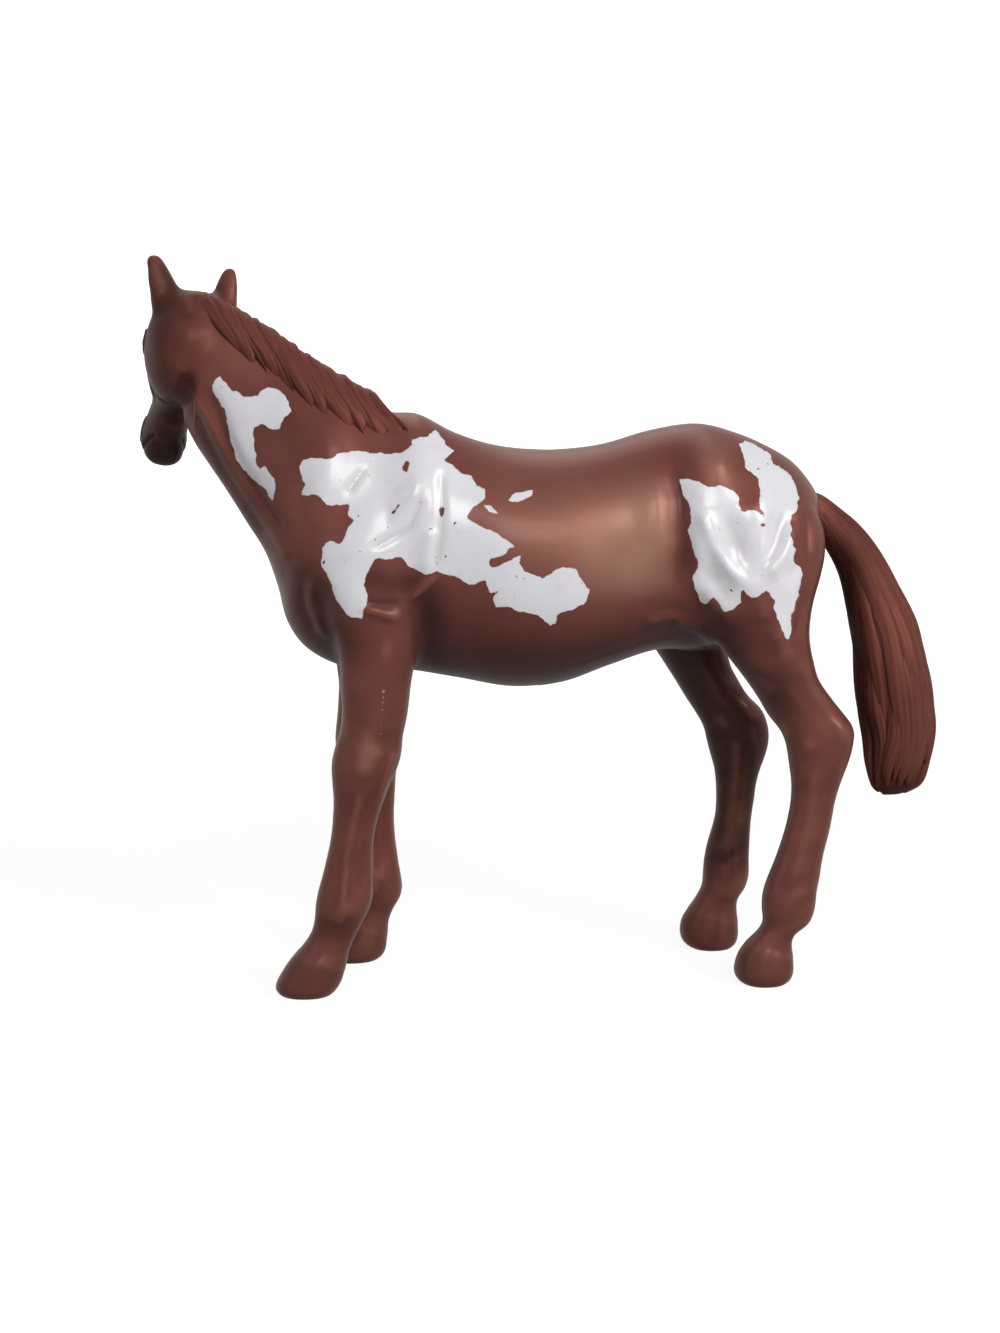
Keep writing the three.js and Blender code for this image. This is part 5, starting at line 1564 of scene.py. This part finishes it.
hair_coat, paint, surface, spray, place = sprayed("hair_coat", HAIR_TONE, HAIR_PAINTED_SHADE, HAIR_RIDGE)
surface["Coat Weight"].default_value = 0
surface["Specular IOR Level"].default_value = HAIR_SHINE
spray.inputs["Gloss"].default_value = HAIR_GLOSS
strand = paint.add("Attribute", attribute_name="strand").outputs["Vector"]
combed = paint.add("Mapping", {"Vector": strand, "Scale": (1, HAIR_STRETCH, 1)}).outputs[0]
hairs = paint.noise(combed, HAIR_SCALE, 3)
bump = surface["Normal"].links[0].from_node.inputs
bump["Distance"].default_value = STRAND_BUMP
paint.put(bump["Height"], paint.plus(hairs, paint.times(spray.outputs["Height"], 0.1)))
streak = paint.times(paint.step(hairs, *STREAK_STEP), STREAK_SHARE)
paint.put(surface["Base Color"], paint.color(streak, spray.outputs["Color"], HAIR_RIDGE))

mane = new_object("lock_mane", with_coat(hair_mesh("lock_mane", mane_locks), hair_coat))
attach(mane, "root")
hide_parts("mane")


# Tail: a bundle of long locks moulded in one with its plug, which is bonded into the dock. It swings
# back and a little to the near side, and its locks wind slowly round it in three lengths.

TAIL_DROP = 0.043
TAIL_SWEEP = 0.019
TAIL_WIDTH = 0.0096
TAIL_SWING = 0.003
TAIL_TWIST = math.radians(50)
DOCK_SHARES = (0.5125, 0.815)
# Outer and inner edge, back and down from the dock as shares of sweep and drop, half width, swing.
TAIL_SHARES = np.array([
    [-0.13, -0.075, -0.135, 0.055, 0.26, 0], [0.07, -0.068, 0.03, 0.077, 0.28, 0],
    [0.242, -0.019, 0.1, 0.126, 0.31, 0.05], [0.407, 0.044, 0.182, 0.186, 0.35, 0.15],
    [0.557, 0.132, 0.25, 0.255, 0.39, 0.3], [0.711, 0.259, 0.302, 0.35, 0.44, 0.5],
    [0.852, 0.391, 0.35, 0.457, 0.48, 0.7], [0.924, 0.521, 0.382, 0.564, 0.5, 0.85],
    [0.966, 0.658, 0.415, 0.675, 0.49, 0.95], [0.998, 0.784, 0.455, 0.788, 0.45, 1],
    [0.985, 0.89, 0.46, 0.885, 0.4, 1], [0.92, 0.963, 0.5, 0.968, 0.3, 1], [0.79, 1, 0.57, 1.004, 0.12, 1],
])
# Each length of lock: how many go round, where they start and end down the tail, how far they stand
# out and how many strands each has.
TAIL_LAYERS = [(8, 0.0, 0.66, 0.0012, 3), (9, 0.16, 0.86, 0.0013, 4), (12, 0.42, 0.985, 0.0011, 4)]
TAIL_LOCK_GRID, TAIL_CORE_GRID = (80, 34), (80, 40)
TAIL_BLUNT = 5
TAIL_STRAND_SHARE = 0.24
TAIL_WAVE = 0.28  # of a lock's thickness, how much it swells and thins along it
TAIL_SWAY = 0.12
TAIL_FINE_SHARE, TAIL_FINE_ENDS = 0.25, (0.25, 0.65)  # near the dock the locks are finer
TAIL_LOCK_SINK = 0.0009
TAIL_CORE_SINK = 0.0007
TAIL_LAYER_START = 0.0006


def tail_rows():
    """The stations of the tail, from dock to tip."""
    outer_back, outer_down, inner_back, inner_down, half, swing = TAIL_SHARES.T
    x, z = middle_x + DOCK_SHARES[0] * BODY_LENGTH, DOCK_SHARES[1] * WITHERS_HEIGHT
    return columns(x + outer_back * TAIL_SWEEP, z - outer_down * TAIL_DROP,
                   x + inner_back * TAIL_SWEEP, z - inner_down * TAIL_DROP,
                   half * TAIL_WIDTH, middle_y - swing * TAIL_SWING, 0.5, 1)


def tail_lock(turn, start, end, width, thickness, strands, phase):
    """A lock over the tail's core. Along it, it winds round by the tail's twist, and it stands out
    of the core by a round section with strand ridges."""
    length, across, up, ridges = lock_section(*TAIL_LOCK_GRID, strands, phase, 3 + 2 * phase)
    narrowing = taper(length, TAIL_BLUNT)
    t = start + (end - start) * length
    sway = TAIL_SWAY * np.sin((length * 2 + phase) * np.pi * 1.3)
    round_it = turn - TAIL_TWIST * (t - 0.3) + sway + across * narrowing * width / 2
    body = thickness * (0.4 + 0.6 * np.sin(np.pi * length**0.75))
    body *= 1 + TAIL_WAVE * np.sin(length * 10 + phase * 6)
    coarser = TAIL_FINE_SHARE + (1 - TAIL_FINE_SHARE) * rise(t, *TAIL_FINE_ENDS)
    grooved = 1 - TAIL_STRAND_SHARE * (1 - ridges) * rise(length, 0.02, 0.2) * coarser
    above = body * coarser * np.maximum(up, 0) * grooved - TAIL_LAYER_START
    below = TAIL_LOCK_SINK * np.maximum(-up, 0)
    grid = skin(tail_rows(), t, round_it, above - below)
    strand = np.stack([across * width * TAIL_WIDTH / 4, length * (end - start) * TAIL_DROP,
                       np.full(length.shape, phase)], axis=-1)
    return grid, strand, np.where(up > 0, coarser * (ridges * 1.6 - 0.8), -1)


chance = np.random.default_rng(11)
core_t, core_turn = round_grid(*TAIL_CORE_GRID)
core = skin(tail_rows(), core_t, core_turn, -TAIL_CORE_SINK)
tail_locks = [(core, np.stack([core_turn / 900, core_t * TAIL_DROP, core_t], axis=-1),
               np.full(core_t.shape, -0.8))]
for count, start, end, thickness, strands in TAIL_LAYERS:
    for number in range(count):
        tail_locks.append(tail_lock(
            2 * np.pi * (number + chance.uniform(-0.2, 0.2)) / count,
            max(start + chance.uniform(-0.06, 0.06), 0), min(end + chance.uniform(-0.08, 0.05), 0.995),
            2 * np.pi / count * chance.uniform(1.1, 1.5), thickness, strands, chance.uniform(0, 1)))

tail = new_object("swung_tail", with_coat(hair_mesh("swung_tail", tail_locks), hair_coat))
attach(tail, "root")
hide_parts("tail")
